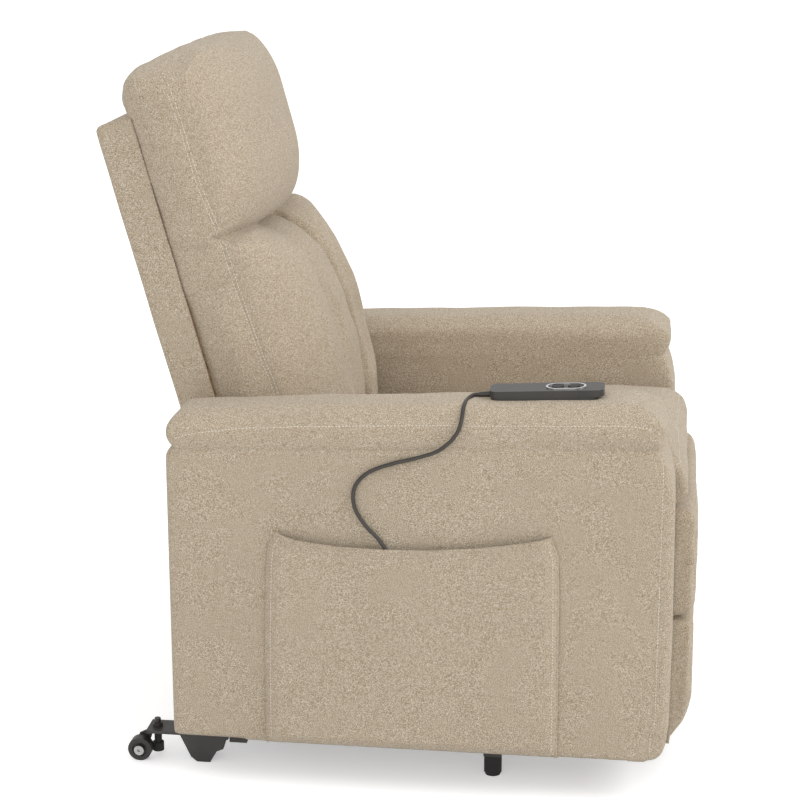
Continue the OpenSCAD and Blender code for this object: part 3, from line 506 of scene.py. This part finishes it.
def stitches(name, on, path, body, pitch=5.2 * MM, length=3.4 * MM, radius=0.5 * MM, lift=0.3 * MM):
    """A row of stitches of light thread along a path, laid on the surface of a piece."""
    tree = BVHTree.FromPolygons([tuple(c) for c in coords(on)], [p.vertices[:] for p in on.data.polygons])
    path = np.asarray(path, float)
    run = np.concatenate(([0], np.cumsum(np.linalg.norm(np.diff(path, axis=0), axis=1))))
    verts, faces = [], []

    def on_surface(s):
        p = Vector([np.interp(s, run, path[:, k]) for k in range(3)])
        at, normal, _, _ = tree.find_nearest(p)
        return at, normal

    for s in np.arange(pitch, run[-1] - pitch, pitch):
        a, na = on_surface(s)
        b, nb = on_surface(s + length)
        if (b - a).length < 0.3 * length:
            continue
        normal = (na + nb).normalized()
        along = (b - a).normalized()
        side = along.cross(normal).normalized()
        base = len(verts)
        for share, size in ((0, 0.35), (0.25, 1), (0.75, 1), (1, 0.35)):
            middle = a.lerp(b, share) + normal * lift
            for k in range(5):
                turn = 2 * math.pi * k / 5
                verts.append(middle + size * radius * (math.cos(turn) * side + math.sin(turn) * normal))
        for r in range(3):
            for k in range(5):
                i = base + 5 * r
                faces.append((i + k, i + (k + 1) % 5, i + 5 + (k + 1) % 5, i + 5 + k))
        faces.append(tuple(base + 4 - k for k in range(5)))
        faces.append(tuple(base + 15 + k for k in range(5)))
    obj = add_object(name, verts, faces)
    obj.data.materials.append(THREAD)
    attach(obj, body)
    return obj


# ---- handset cord: 6 mm, from the strain relief over the arm pad and down into the side pocket ----
CORD_D = 6 * MM
ARM_OUT = 378
RELIEF_TIP = (-311, -132.232, 620.122)
CORD_ROUTE = [RELIEF_TIP, (-311, -126.239, 619.822)] + [(dx - ARM_OUT, y, z) for dx, y, z in (
    (59, -121, 618.6), (49, -117, 616.2), (35.6, -115, 614.4), (21, -114, 610.3), (8.4, -114, 604.4),
    (-3.2, -113, 595), (-7.8, -110, 584.8), (-9.2, -104, 574.6), (-9.5, -96, 565), (-9, -78, 551),
    (-7, -50, 540), (-5, -16, 530),
    (-4.5, 14, 519), (-4.5, 34, 506), (-4.5, 46, 487), (-4.5, 47, 466), (-4.5, 40, 446),
    (-4.5, 26, 427), (-5, 8, 408), (-6, -6, 384), (-6, -14, 340), (-6, -18, 290),
    (-6, -24, 240), (-6, -38, 190), (-6, -62, 150), (-6, -95, 130), (-6, -130, 130),
    (-6, -160, 148), (-6, -178, 180), (-6, -180, 216), (-6, -168, 250), (-6, -147, 276),
    (-6, -120, 289.5), (-6, -94, 290), (-6, -88, 290),
)]


def catmull_rom(points, steps):
    """A smooth curve through the points."""
    p = np.asarray(points, float)
    p = np.concatenate((p[:1], p, p[-1:]))
    out = []
    for a, b, c, d in zip(p, p[1:], p[2:], p[3:]):
        for t in np.arange(steps) / steps:
            bend = (2 * a - 5 * b + 4 * c - d) * t * t + (3 * b - a - 3 * c + d) * t**3
            out.append(0.5 * (2 * b + (c - a) * t + bend))
    return np.array([*out, p[-1]])


def tube(name, path, radius, sides=12):
    """A closed tube along a path."""
    path = np.asarray(path, float)
    ahead = np.gradient(path, axis=0)
    ahead /= np.linalg.norm(ahead, axis=1, keepdims=True)
    side = np.cross(ahead[0], (0, 0, 1.0) if abs(ahead[0][2]) < 0.9 else (1.0, 0, 0))
    verts, faces = [], []
    for p, t in zip(path, ahead):
        side = side - t * (side @ t)
        side /= np.linalg.norm(side)
        up = np.cross(t, side)
        for k in range(sides):
            turn = 2 * math.pi * k / sides
            verts.append(p + radius * (math.cos(turn) * side + math.sin(turn) * up))
    for i in range(len(path) - 1):
        for k in range(sides):
            a, b = i * sides + k, i * sides + (k + 1) % sides
            faces.append((a, b, b + sides, a + sides))
    faces.append(tuple(range(sides - 1, -1, -1)))
    faces.append(tuple(range((len(path) - 1) * sides, len(path) * sides)))
    return add_object(name, verts, faces)


cord_path = catmull_rom(np.array(CORD_ROUTE) * MM, 5)
cord = tube("handset_lead", cord_path, CORD_D / 2)
cord.data.materials.append(JACKET)
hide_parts("handset_cord")
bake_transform(cord)

# ---- arms ----
arm_low, arm_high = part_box("arm_cover_left")
pad_low, pad_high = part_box("arm_pad_left")
ARM_SLOPE = math.tan(math.radians(2.15))
SEAM_IN = 25 * MM       # the facing's seam, behind the arm's front edge
TUCK = 9 * MM           # how far arm cover and arm pad run on into each other


def arm_edge(y):
    """Height of an arm box's top edge."""
    return arm_high.z + (arm_low.y + 30 * MM - y) * ARM_SLOPE


def arm_outline():
    """Side view of an arm's cover, from its rear foot round the front and back along its top."""
    f, b, z = arm_low.y, arm_high.y, arm_low.z
    top = arm_edge(f)
    foot = [(b, z + 3 * MM), (0, z), (f + 34 * MM, z + 1 * MM), (f + 15 * MM, z + 8 * MM),
            (f + 5 * MM, z + 24 * MM), (f + 1 * MM, z + 64 * MM)]
    front = [(f, z + 200 * MM), (f + 3 * MM, top - 72 * MM), (f + 10 * MM, top - 36 * MM),
             (f + 20 * MM, top - 12 * MM)]
    edge = [(f + 30 * MM, arm_edge(f + 30 * MM)), (f + 70 * MM, arm_edge(f + 70 * MM) + TUCK),
            (b - 12 * MM, arm_edge(b) + TUCK), (b, arm_edge(b) - 4 * MM)]
    return foot + front + edge


def arm_slack(co, side):
    """Looseness of the cloth over one arm, the same on its cover and its pad."""
    return 0.8 * MM * ripple(co, 130 * MM, 3 + side) + 0.4 * MM * ripple(co, 45 * MM, 9 + side)


def arm_cover(side):
    """Padded cover of one arm box, open below; side is -1 for the sitter's right arm."""
    name = "arm_upholstery_right" if side < 0 else "arm_upholstery_left"
    node = "arm_cover_right" if side < 0 else "arm_cover_left"
    x = sorted((side * arm_low.x, side * arm_high.x))
    obj = slab(name, arm_outline(), x[0], x[1])
    modify(obj, "REMESH", mode="VOXEL", voxel_size=5.5 * MM)
    relax(obj, 8)
    co, n = coords(obj), normals(obj)
    face = np.abs(n[:, 0]) > 0.8
    co = co + n * (arm_slack(co, side) * face)[:, None]
    set_coords(obj, co)
    f = arm_low.y + SEAM_IN
    rows = np.linspace(arm_low.z + 16 * MM, arm_edge(f) - 8 * MM, 30)
    seams = [[(xx, f + (6 * MM if z < arm_low.z + 60 * MM else 0), z) for z in rows] for xx in x]
    for path in seams:
        press(obj, path, 4 * MM, 1.6 * MM)
    for xx in x:
        ys = np.linspace(arm_low.y + 26 * MM, arm_low.y + 70 * MM, 10)
        corner = [(xx, y, arm_edge(y) - 6 * MM) for y in ys]
        gather(obj, corner, 20 * MM, 12 * MM, 1.1 * MM)
    floor_z = arm_low.z
    cut_faces(obj, lambda c, normal: normal.z < -0.75 and c.z < floor_z + 9 * MM)
    modify(obj, "SOLIDIFY", thickness=4.5 * MM, offset=-1)
    dress(obj, "chassis", "upholstery", node)
    outer = seams[0] if side < 0 else seams[1]
    for k, path in (("outer", outer), ("inner", seams[1] if side < 0 else seams[0])):
        stitches(f"{name}_facing_stitches_{k}", obj, [(p[0], p[1] - 3 * MM, p[2]) for p in path], "chassis")
    return obj


# Stitched line along the outer side of an arm pad: y and z
PAD_SEAM = np.array([(-0.400, 0.590), (-0.388, 0.599), (-0.345, 0.602), (-0.258, 0.598), (-0.170, 0.595),
                     (-0.023, 0.591), (0.127, 0.584), (0.217, 0.578), (0.294, 0.566), (0.320, 0.556)])


def arm_pad(side):
    """Rolled pad on one arm, with a stitched line along its outer side and small gathers at its front."""
    name = "arm_roll_right" if side < 0 else "arm_roll_left"
    node = "arm_pad_right" if side < 0 else "arm_pad_left"
    obj = copy_nodes(name, node)
    co = coords(obj)
    co[co[:, 2] < arm_edge(co[:, 1]) + 2 * MM, 2] -= TUCK
    set_coords(obj, co)
    modify(obj, "REMESH", mode="VOXEL", voxel_size=4.5 * MM)
    relax(obj, 6)
    puff(obj, 3, 5 * MM, sewn=lambda co: co[:, 2] - arm_edge(co[:, 1]) - 4 * MM)
    low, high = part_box(node)
    hold(obj, (low.x - 1 * MM, low.y - 2 * MM, None), (high.x + 1 * MM, high.y + 2 * MM, high.z + 2.5 * MM))
    co = coords(obj)
    co += normals(obj) * arm_slack(co, side)[:, None]
    # The outer side draws in towards the lower edge, down to the arm's own side
    height = co[:, 2] - arm_edge(co[:, 1])
    drawn = ((30 * MM - height) / (34 * MM)).clip(0, 1)
    outward = (co[:, 0] * side - pad_low.x) / (pad_high.x - pad_low.x)
    co[:, 0] -= side * 7 * MM * drawn**2 * (outward > 0.6)
    # The inner side runs on down over the cover as one face
    co[:, 0] -= side * (1.5 - 2.2 * drawn**3) * MM * (outward < 0.1)
    co[:, 2] -= 14 * MM * drawn * (outward < 0.1)
    # The front of the roll is round at the top
    ahead = (low.y + 62 * MM - co[:, 1]) / (64 * MM)
    crown = high.z + 1 * MM - 50 * MM * round_off(ahead)
    limit = np.maximum(crown, arm_edge(co[:, 1]) + 12 * MM)
    co[:, 2] = np.where(height > 12 * MM, np.minimum(co[:, 2], limit), co[:, 2])
    if side > 0:
        # The pad on the left arm is rolled a little further over its front
        front = ((low.y + 34 * MM - co[:, 1]) / (34 * MM)).clip(0, 1)
        co[:, 1] -= 8 * MM * front * np.exp(-(((height - 12 * MM) / (34 * MM)) ** 2))
        co[:, 2] -= 6 * MM * (height / (60 * MM)).clip(0, 1) * ((0.1 - co[:, 1]) / 0.5).clip(0, 1)
    set_coords(obj, co)
    outer = side * pad_high.x
    ys = np.linspace(low.y + 20 * MM, high.y - 12 * MM, 60)

    def line(extra):
        return [(outer, y, np.interp(y, PAD_SEAM[:, 0], PAD_SEAM[:, 1]) - extra) for y in ys]

    press(obj, line(0), 3.5 * MM, 1.2 * MM)
    crease = [(outer, y, arm_edge(y) + 8 * MM) for y in ys[:10]]
    gather(obj, crease, 13 * MM, 10 * MM, 1.0 * MM)
    stitches(f"{name}_stitches", obj, line(2.5 * MM), "chassis", lift=0.2 * MM)
    dress(obj, "chassis", "upholstery", node, fill=0.8)
    return obj


for side in (-1, 1):
    arm_cover(side)
    arm_pad(side)

# ---- side pocket ----
POCKET_REAR = [(64, 186), (240, 185), (360, 181), (394, 177), (417, 163)]      # z, y in mm
POCKET_FRONT = [(64, -264), (327, -262), (390, -260), (421, -250)]
# The rim is a list of y and z
RIM = [(-250, 424), (-203, 415), (-143, 405), (-69, 398), (-1, 396), (67, 398), (128, 405), (163, 414)]
POCKET_HEM = 20                 # from the rim down to the stitching of its hem, in mm
POCKET_BULGE = 11.6 * MM
arm_x = -arm_high.x             # outer side of the right arm


def side_pocket():
    """A patch pocket: flat cloth sewn on three sides, its rim drawn in by elastic."""
    low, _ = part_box("side_pocket")
    columns, rows = 150, 96
    wide, tall = 450, 340       # the size of the cloth, in mm
    zs = np.array(RIM)
    verts, faces = [], []
    for j in range(rows + 1):
        v = j / rows
        for i in range(columns + 1):
            u = i / columns
            y_rim = RIM[-1][0] + (RIM[0][0] - RIM[-1][0]) * u
            z_top = np.interp(y_rim, zs[:, 0], zs[:, 1])
            z = (low.z / MM + (z_top - low.z / MM) * v)
            y0 = np.interp(z, *np.array(POCKET_REAR).T)
            y1 = np.interp(z, *np.array(POCKET_FRONT).T)
            y = y0 + (y1 - y0) * u
            edge = min(1, min(u, 1 - u) * wide / 20) ** 0.6 * min(1, v * tall / 16) ** 0.6
            pleat = math.sin(2 * math.pi * y / 6.3 + 1.2 * math.sin(y / 9))
            ruche = 0.9 * MM * pleat * math.exp(-((z_top - z) / 15) ** 2)
            sag = 0.8 * MM * noise.noise(Vector((y, z, 7)) / 75)
            verts.append((arm_x - 0.4 * MM - POCKET_BULGE * edge + (ruche + sag) * edge, y * MM, z * MM))
    w = columns + 1
    for j in range(rows):
        for i in range(columns):
            a = j * w + i
            faces.append((a, a + 1, a + 1 + w, a + w))
    obj = add_object("pocket_cloth", verts, faces)
    modify(obj, "SOLIDIFY", thickness=1.4 * MM, offset=0)
    hem = [(arm_x - POCKET_BULGE, y * MM, (np.interp(y, zs[:, 0], zs[:, 1]) - POCKET_HEM) * MM)
           for y in np.linspace(-242, 155, 60)]
    press(obj, hem, 2.2 * MM, 0.7 * MM)
    dress(obj, "chassis", "upholstery", "side_pocket")
    for k, edge, shift in (("rear", POCKET_REAR, -7), ("front", POCKET_FRONT, 7)):
        run = [(arm_x - POCKET_BULGE, (np.interp(z, *np.array(edge).T) + shift) * MM, z * MM)
               for z in np.linspace(74, 410, 40)]
        stitches(f"pocket_stitches_{k}", obj, run, "chassis")
        welt = [(arm_x - 2.6 * MM, (np.interp(z, *np.array(edge).T) + shift * 0.2) * MM, z * MM)
                for z in np.linspace(70, 414, 60)]
        piece = tube(f"pocket_welt_{k}", welt, 2.0 * MM, 8)
        dress(piece, "chassis", "upholstery")
    return obj


side_pocket()

# ---- seat cushion ----


def seat_cushion():
    """The seat: a full front edge with a gathered seam across it, lower towards the rear."""
    obj = copy_nodes("seat_upholstery", "seat_cushion")
    modify(obj, "REMESH", mode="VOXEL", voxel_size=6.5 * MM)
    relax(obj, 6)
    low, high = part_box("seat_cushion")
    puff(obj, 4, 7 * MM, sewn=lambda co: co[:, 2] - low.z - 3 * MM)
    hold(obj, (low.x - 2.8 * MM, low.y - 5 * MM, low.z), (high.x + 2.8 * MM, high.y, high.z + 6 * MM))
    co = coords(obj)
    slack = 1.2 * MM * ripple(co, 110 * MM, 41) + 0.5 * MM * ripple(co, 38 * MM, 42)
    co += normals(obj) * slack[:, None]
    # Its front rolls over, and it falls away towards the rear and towards the arms
    ahead = (low.y + 74 * MM - co[:, 1]) / (78 * MM)
    co[:, 2] = np.minimum(co[:, 2], high.z + 6 * MM - 56 * MM * round_off(ahead))
    back = ((co[:, 1] + 0.345) / 0.26).clip(0, 1)
    top = ((co[:, 2] - low.z) / (high.z - low.z)).clip(0, 1)
    fall = (16 + 20 * np.abs(co[:, 0] / high.x).clip(0, 1)) * MM
    co[:, 2] -= fall * ease(back) * top**2
    set_coords(obj, co)
    for s in (-1, 1):
        x = s * (high.x - 5 * MM)
        path = [(x, y, high.z - 22 * MM) for y in np.linspace(low.y + 66 * MM, high.y - 120 * MM, 30)]
        press(obj, path, 4 * MM, 2 * MM)
    bow = np.linspace(-1, 1, 40)
    across = [(t * (high.x + 1 * MM), low.y + (14 + 16 * t**4) * MM, high.z - (17 + 24 * abs(t) ** 3.5) * MM)
              for t in bow]
    press(obj, across, 4 * MM, 3 * MM)
    gather(obj, across, 16 * MM, 17 * MM, 0.7 * MM)
    dress(obj, "chassis", "upholstery", "seat_cushion", fill=0.85)
    stitches("seat_stitches", obj, [(p[0], p[1] + 3 * MM, p[2] + 4 * MM) for p in across], "chassis")
    return obj


seat_cushion()

# ---- foot rest ----


def foot_pad(name, node, seed):
    """One pad of the foot rest, with a piped line down each side."""
    obj = copy_nodes(name, node)
    low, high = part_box(node)
    # The cover is drawn round the edges of the board behind the pad
    co = coords(obj)
    co[co[:, 1] > high.y - 2 * MM, 1] += 10 * MM
    set_coords(obj, co)
    modify(obj, "REMESH", mode="VOXEL", voxel_size=4.5 * MM)
    relax(obj, 4)
    puff(obj, 4, 4.5 * MM, sewn=lambda co: high.y + 2 * MM - co[:, 1])
    hold(obj, (low.x - 4.2 * MM, low.y - 5 * MM, low.z),
         (high.x + 4.2 * MM, high.y + 11 * MM, high.z + 0.5 * MM), soft=1.5 * MM)
    co = coords(obj)
    slack = 0.8 * MM * ripple(co, 80 * MM, seed) + 0.4 * MM * ripple(co, 26 * MM, seed + 1)
    set_coords(obj, co + normals(obj) * slack[:, None])
    if name.endswith("lower"):
        # The lower pad rolls back under its foot
        co = coords(obj)
        rolled = ((90 * MM - co[:, 2] + low.z) / (90 * MM)).clip(0, 1)
        co[:, 1] += 42 * MM * rolled**2 * ((high.y - co[:, 1]) / (high.y - low.y)).clip(0, 1)
        set_coords(obj, co)
    for s in (-1, 1):
        x = s * (high.x - 13 * MM)
        press(obj, [(x, low.y, z) for z in np.linspace(low.z, high.z, 20)], 4.5 * MM, 2.6 * MM)
    for z in (low.z + 3 * MM, high.z - 3 * MM):
        line = [(x, low.y + 4 * MM, z) for x in np.linspace(low.x + 8 * MM, high.x - 8 * MM, 30)]
        gather(obj, line, 13 * MM, 15 * MM, 0.6 * MM)
    return dress(obj, "footrest", "upholstery", node, fill=0.8)


foot_pad("footrest_upholstery_upper", "footrest_pad_upper", 51)
foot_pad("footrest_upholstery_lower", "footrest_pad_lower", 57)

# ---- back ----
back_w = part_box("back_cover")[1].x
# Seam along both sides of pillow and cushions: (y, z) in the back's own frame
SIDE_SEAM = np.array([(-0.160, 0.060), (-0.156, 0.183), (-0.152, 0.207), (-0.148, 0.278), (-0.144, 0.335),
                      (-0.143, 0.410), (-0.133, 0.493), (-0.132, 0.606), (-0.129, 0.641), (-0.126, 0.680)])


def side_seam(x, shift, count=80):
    """The seam's line on one side, moved by shift along the back's thickness."""
    return [from_back(x, np.interp(z, SIDE_SEAM[:, 1], SIDE_SEAM[:, 0]) + shift, z)
            for z in np.linspace(0.06, 0.68, count)]


def tuck_back(obj, depth=9 * MM):
    """Runs the rear of a back cushion on into the outer cover, so no gap shows between them."""
    co = back_local(coords(obj))
    co[co[:, 1] > -0.064, 1] += depth
    set_coords(obj, back_local(co, back=True))


# Crest of the side cushions, in the back's own frame: height, front, and distance from the middle
CREST = np.array([(0.043, -0.240, 0.089), (0.087, -0.250, 0.089), (0.170, -0.259, 0.086),
                  (0.250, -0.256, 0.088), (0.318, -0.242, 0.092), (0.345, -0.230, 0.108),
                  (0.367, -0.218, 0.124), (0.385, -0.205, 0.150), (0.404, -0.178, 0.165)])
# Where the fronts of the cushions lie, in that same frame
PILLOW_FOOT = 0.404             # height of the pillow's lower edge
PILLOW_FLAT = (0.520, 0.600)    # heights below and above which its front rolls in
PILLOW_SEAM = -0.133            # its front at its ends
PILLOW_BOW = 0.104              # how far its middle stands out before them
PILLOW_HALF = 0.250             # half the length of its bow
CUSHION_SEAM = -0.148           # front of the side cushions at their outer sides
CUSHION_SIDE = 0.248            # distance of those sides from the middle


def crest_at(height):
    """Front of the side cushions' crest, and its distance from the middle, at each height."""
    return (np.interp(height, CREST[:, 0], CREST[:, k]) for k in (1, 2))


def back_cushions():
    """Both side cushions and the head pillow: one sewn cover, with a deep crease under the pillow's lip."""
    obj = copy_nodes("back_upholstery", "back_side_cushions", "head_pillow")
    strip = slab("strip", [(-0.146, 0.36), (-0.0625, 0.33), (-0.0625, 0.47), (-0.146, 0.44)], -0.2365, 0.2365)
    set_coords(strip, back_local(coords(strip), back=True))
    bm = bmesh.new()
    bm.from_mesh(obj.data)
    bm.from_mesh(strip.data)
    bm.to_mesh(obj.data)
    bm.free()
    bpy.data.objects.remove(strip)
    tuck_back(obj)
    modify(obj, "REMESH", mode="VOXEL", voxel_size=5.5 * MM)
    relax(obj, 6)
    puff(obj, 4, 12 * MM, sewn=lambda co: -0.072 - back_local(co)[:, 1])
    hold(obj, (-back_w - 3 * MM, -0.268, 0.018), (back_w + 3 * MM, -0.0535, 0.712), to_local=back_local)
    co, n = coords(obj), normals(obj)
    slack = 1.6 * MM * ripple(co, 90 * MM, 61) + 0.7 * MM * ripple(co, 32 * MM, 62)
    # The sides swell between the outer cover and the seam, and draw in where they meet the cover
    place = back_local(co)
    swell = 7 * MM * np.sin(math.pi * ((-0.062 - place[:, 1]) / 0.085).clip(0, 1)) ** 0.8 * np.abs(n[:, 0])
    co += n * (slack + swell)[:, None]
    groove = 6 * MM * np.exp(-(((place[:, 1] + 0.061) / 0.013) ** 2)) * (np.abs(place[:, 0]) > 0.2)
    co[:, 0] -= np.sign(co[:, 0]) * groove
    # The ends of the pillow are full at the top, towards the rear
    corner = np.exp(-(((place[:, 1] + 0.085) / 0.045) ** 2) - ((place[:, 2] - 0.685) / 0.04) ** 2)
    co += n * (15 * MM * corner * (np.abs(place[:, 0]) / back_w).clip(0, 1) ** 2)[:, None]
    place = back_local(co)
    across, up = np.abs(place[:, 0]), place[:, 2]
    # The pillow's front is rounded in plan, and rolls in at its top and at its lip
    bow = PILLOW_BOW * np.sqrt((1 - (across / PILLOW_HALF) ** 2).clip(0.02, 1))
    roll = 0.070 * round_off((up - PILLOW_FLAT[1]) / 0.112)
    roll += 0.062 * round_off((PILLOW_FLAT[0] - up) / 0.116)
    front = np.minimum(roll + PILLOW_SEAM - bow, -0.120)
    pillow = up > PILLOW_FOOT
    place[pillow, 1] = np.maximum(place[pillow, 1], front[pillow])
    # The side cushions are rounded over a crest beside the middle one
    crest, at = crest_at(up)
    beyond = (across - at).clip(0, 1) / (CUSHION_SIDE - at)
    front = CUSHION_SEAM + (crest - CUSHION_SEAM) * np.sqrt((1 - beyond**2).clip(0.02, 1))
    front += 0.26 * (at - across).clip(0, 0.1)
    place[~pillow, 1] = np.maximum(place[~pillow, 1], front[~pillow])
    # The pillow's ends are rounded from the side over to the front and to the top
    end = ((across - back_w + 45 * MM) / (48 * MM)).clip(0, 1)
    ahead = ((-0.125 - place[:, 1]) / 0.04).clip(0, 1)
    place[pillow, 2] -= (14 * MM * end**2 * ahead * ((up - 0.640) / 0.07).clip(0, 1))[pillow]
    place[pillow, 0] *= 1 - (0.05 * ((-0.150 - place[:, 1]) / 0.060).clip(0, 1) ** 2 * end)[pillow]
    set_coords(obj, back_local(place, back=True))
    relax(obj, 4)
    for s in (-1, 1):
        x = s * (back_w + 2 * MM)
        seam = side_seam(x, 0)
        press(obj, seam, 4 * MM, 2 * MM)
        gather(obj, seam[34:], 40 * MM, 15 * MM, 1.3 * MM)
        gather(obj, seam[:34], 26 * MM, 13 * MM, 0.5 * MM)
        lip = [from_back(x * 0.98, y, 0.4045) for y in np.linspace(-0.225, -0.150, 12)]
        press(obj, lip, 6 * MM, 4 * MM)
        gather(obj, lip, 24 * MM, 12 * MM, 1.1 * MM)
    dress(obj, "back", "upholstery", "back_side_cushions", "head_pillow", fill=0.75)
    for s, side in ((-1, "right"), (1, "left")):
        for row, shift in (("a", -3 * MM), ("b", 3 * MM)):
            stitches(f"back_stitches_{side}_{row}", obj, side_seam(s * (back_w + 2 * MM), shift), "back")
    return obj


def lumbar_cushion():
    """The middle cushion of the back, between the side cushions."""
    obj = copy_nodes("lumbar_upholstery", "back_lumbar_cushion")
    modify(obj, "REMESH", mode="VOXEL", voxel_size=5.5 * MM)
    relax(obj, 5)
    puff(obj, 4, 12 * MM)
    hold(obj, (None, -0.266, 0.016), (None, -0.0622, 0.403), to_local=back_local)
    low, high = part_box("back_lumbar_cushion")
    hold(obj, (low.x - 6 * MM, None, None), (high.x + 6 * MM, None, None))
    co = coords(obj)
    co += normals(obj) * (1.3 * MM * ripple(co, 85 * MM, 71))[:, None]
    # It lies behind the fronts of the side cushions, and further behind along its edges
    place = back_local(co)
    edge = np.abs(place[:, 0] / high.x).clip(0, 1) ** 2.5
    crest, at = crest_at(place[:, 2])
    side = crest + 0.3 * (at - high.x) + (5 + 10 * edge) * MM
    place[:, 1] += np.maximum(side - place[:, 1], 0) * (place[:, 1] < -0.12)
    set_coords(obj, back_local(place, back=True))
    return dress(obj, "back", "upholstery", "back_lumbar_cushion", fill=0.8)


def back_cover():
    """Outer cover of the back: rear and side panels over the frame, open towards the cushions and below."""
    outline = [(0, -0.054), (0, 0.616), (-0.004, 0.622), (-0.062, 0.626), (-0.062, -0.054)]
    obj = slab("back_outer_upholstery", outline, -back_w, back_w)
    modify(obj, "REMESH", mode="VOXEL", voxel_size=5.5 * MM)
    relax(obj, 3)
    co, n = coords(obj), normals(obj)
    slack = 0.6 * MM * ripple(co, 120 * MM, 81) + 0.3 * MM * ripple(co, 40 * MM, 82)
    set_coords(obj, co + n * slack[:, None])
    cut_faces(obj, lambda c, normal: (normal.y < -0.7 and c.y < -0.05) or (normal.z < -0.7 and c.z < -0.045))
    seams = {}
    for s, side in ((-1, "right"), (1, "left")):
        seams[side] = [(s * (back_w - 12 * MM), 0.001, z) for z in np.linspace(-0.04, 0.605, 60)]
        press(obj, seams[side], 3.5 * MM, 1.2 * MM)
    seams["low"] = [(x, 0.001, 0.03) for x in np.linspace(-back_w + 14 * MM, back_w - 14 * MM, 60)]
    press(obj, seams["low"], 3.5 * MM, 1.4 * MM)
    modify(obj, "SOLIDIFY", thickness=3.2 * MM, offset=-1)
    set_coords(obj, back_local(coords(obj), back=True))
    dress(obj, "back", "upholstery", "back_cover")
    for key, path in seams.items():
        stitches(f"back_outer_stitches_{key}", obj, [from_back(*p) for p in path], "back")
    return obj


def rear_panel():
    """Upholstered panel between the arms at the rear."""
    low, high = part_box("rear_panel")
    outline = [(low.y, low.z), (high.y, low.z), (high.y, high.z), (low.y, high.z)]
    obj = slab("rear_upholstery", outline, low.x, high.x)
    modify(obj, "REMESH", mode="VOXEL", voxel_size=4.5 * MM)
    relax(obj, 3)
    co = coords(obj)
    set_coords(obj, co + normals(obj) * (0.6 * MM * ripple(co, 110 * MM, 91))[:, None])
    return dress(obj, "chassis", "upholstery", "rear_panel")


back_cushions()
lumbar_cushion()
back_cover()
rear_panel()

# ---- floor and light ----
FLOOR_R = 60
FLOOR_GLOW = 0.42


def floor():
    """A pale floor that keeps the chair's shadow, and glows a little for the camera and in reflections."""
    n = 96
    turns = [2 * math.pi * k / n for k in range(n)]
    ring = [(FLOOR_R * math.cos(turn), FLOOR_R * math.sin(turn), 0) for turn in turns]
    obj = add_object("floor", ring, [tuple(range(n))], smooth=False)
    material = bpy.data.materials.new("pale_floor")
    material.use_nodes = True
    tree = material.node_tree
    tree.nodes.clear()
    out = tree.nodes.new("ShaderNodeOutputMaterial")
    diffuse = tree.nodes.new("ShaderNodeBsdfDiffuse")
    diffuse.inputs["Color"].default_value = grey(0.86)
    glow = tree.nodes.new("ShaderNodeEmission")
    glow.inputs["Color"].default_value = grey(1)
    rays = tree.nodes.new("ShaderNodeLightPath")
    either = tree.nodes.new("ShaderNodeMath")
    either.operation = "MAXIMUM"
    tree.links.new(rays.outputs["Is Camera Ray"], either.inputs[0])
    tree.links.new(rays.outputs["Is Glossy Ray"], either.inputs[1])
    share = tree.nodes.new("ShaderNodeMath")
    share.operation = "MULTIPLY"
    tree.links.new(either.outputs[0], share.inputs[0])
    share.inputs[1].default_value = FLOOR_GLOW
    tree.links.new(share.outputs[0], glow.inputs["Strength"])
    both = tree.nodes.new("ShaderNodeAddShader")
    tree.links.new(diffuse.outputs[0], both.inputs[0])
    tree.links.new(glow.outputs[0], both.inputs[1])
    tree.links.new(both.outputs[0], out.inputs["Surface"])
    obj.data.materials.append(material)


def lamp(name, at, size, power, towards=(0, 0, 0.5)):
    """A round soft lamp, pointed at a place."""
    light = bpy.data.lights.new(name, "AREA")
    light.shape, light.size, light.energy = "DISK", size, power
    obj = bpy.data.objects.new(name, light)
    obj.location = at
    obj.rotation_euler = (Vector(towards) - Vector(at)).to_track_quat("-Z", "Y").to_euler()
    bpy.context.collection.objects.link(obj)


floor()
lamp("key", (-1.2, -3.4, 3.2), 2.4, 70)
lamp("fill", (-3.6, 0.6, 2.2), 2.6, 22)
world = bpy.data.worlds.new("studio")
world.use_nodes = True
world.node_tree.nodes["Background"].inputs["Color"].default_value = grey(1)
world.node_tree.nodes["Background"].inputs["Strength"].default_value = 0.87
bpy.context.scene.world = world

bpy.context.view_layer.update()
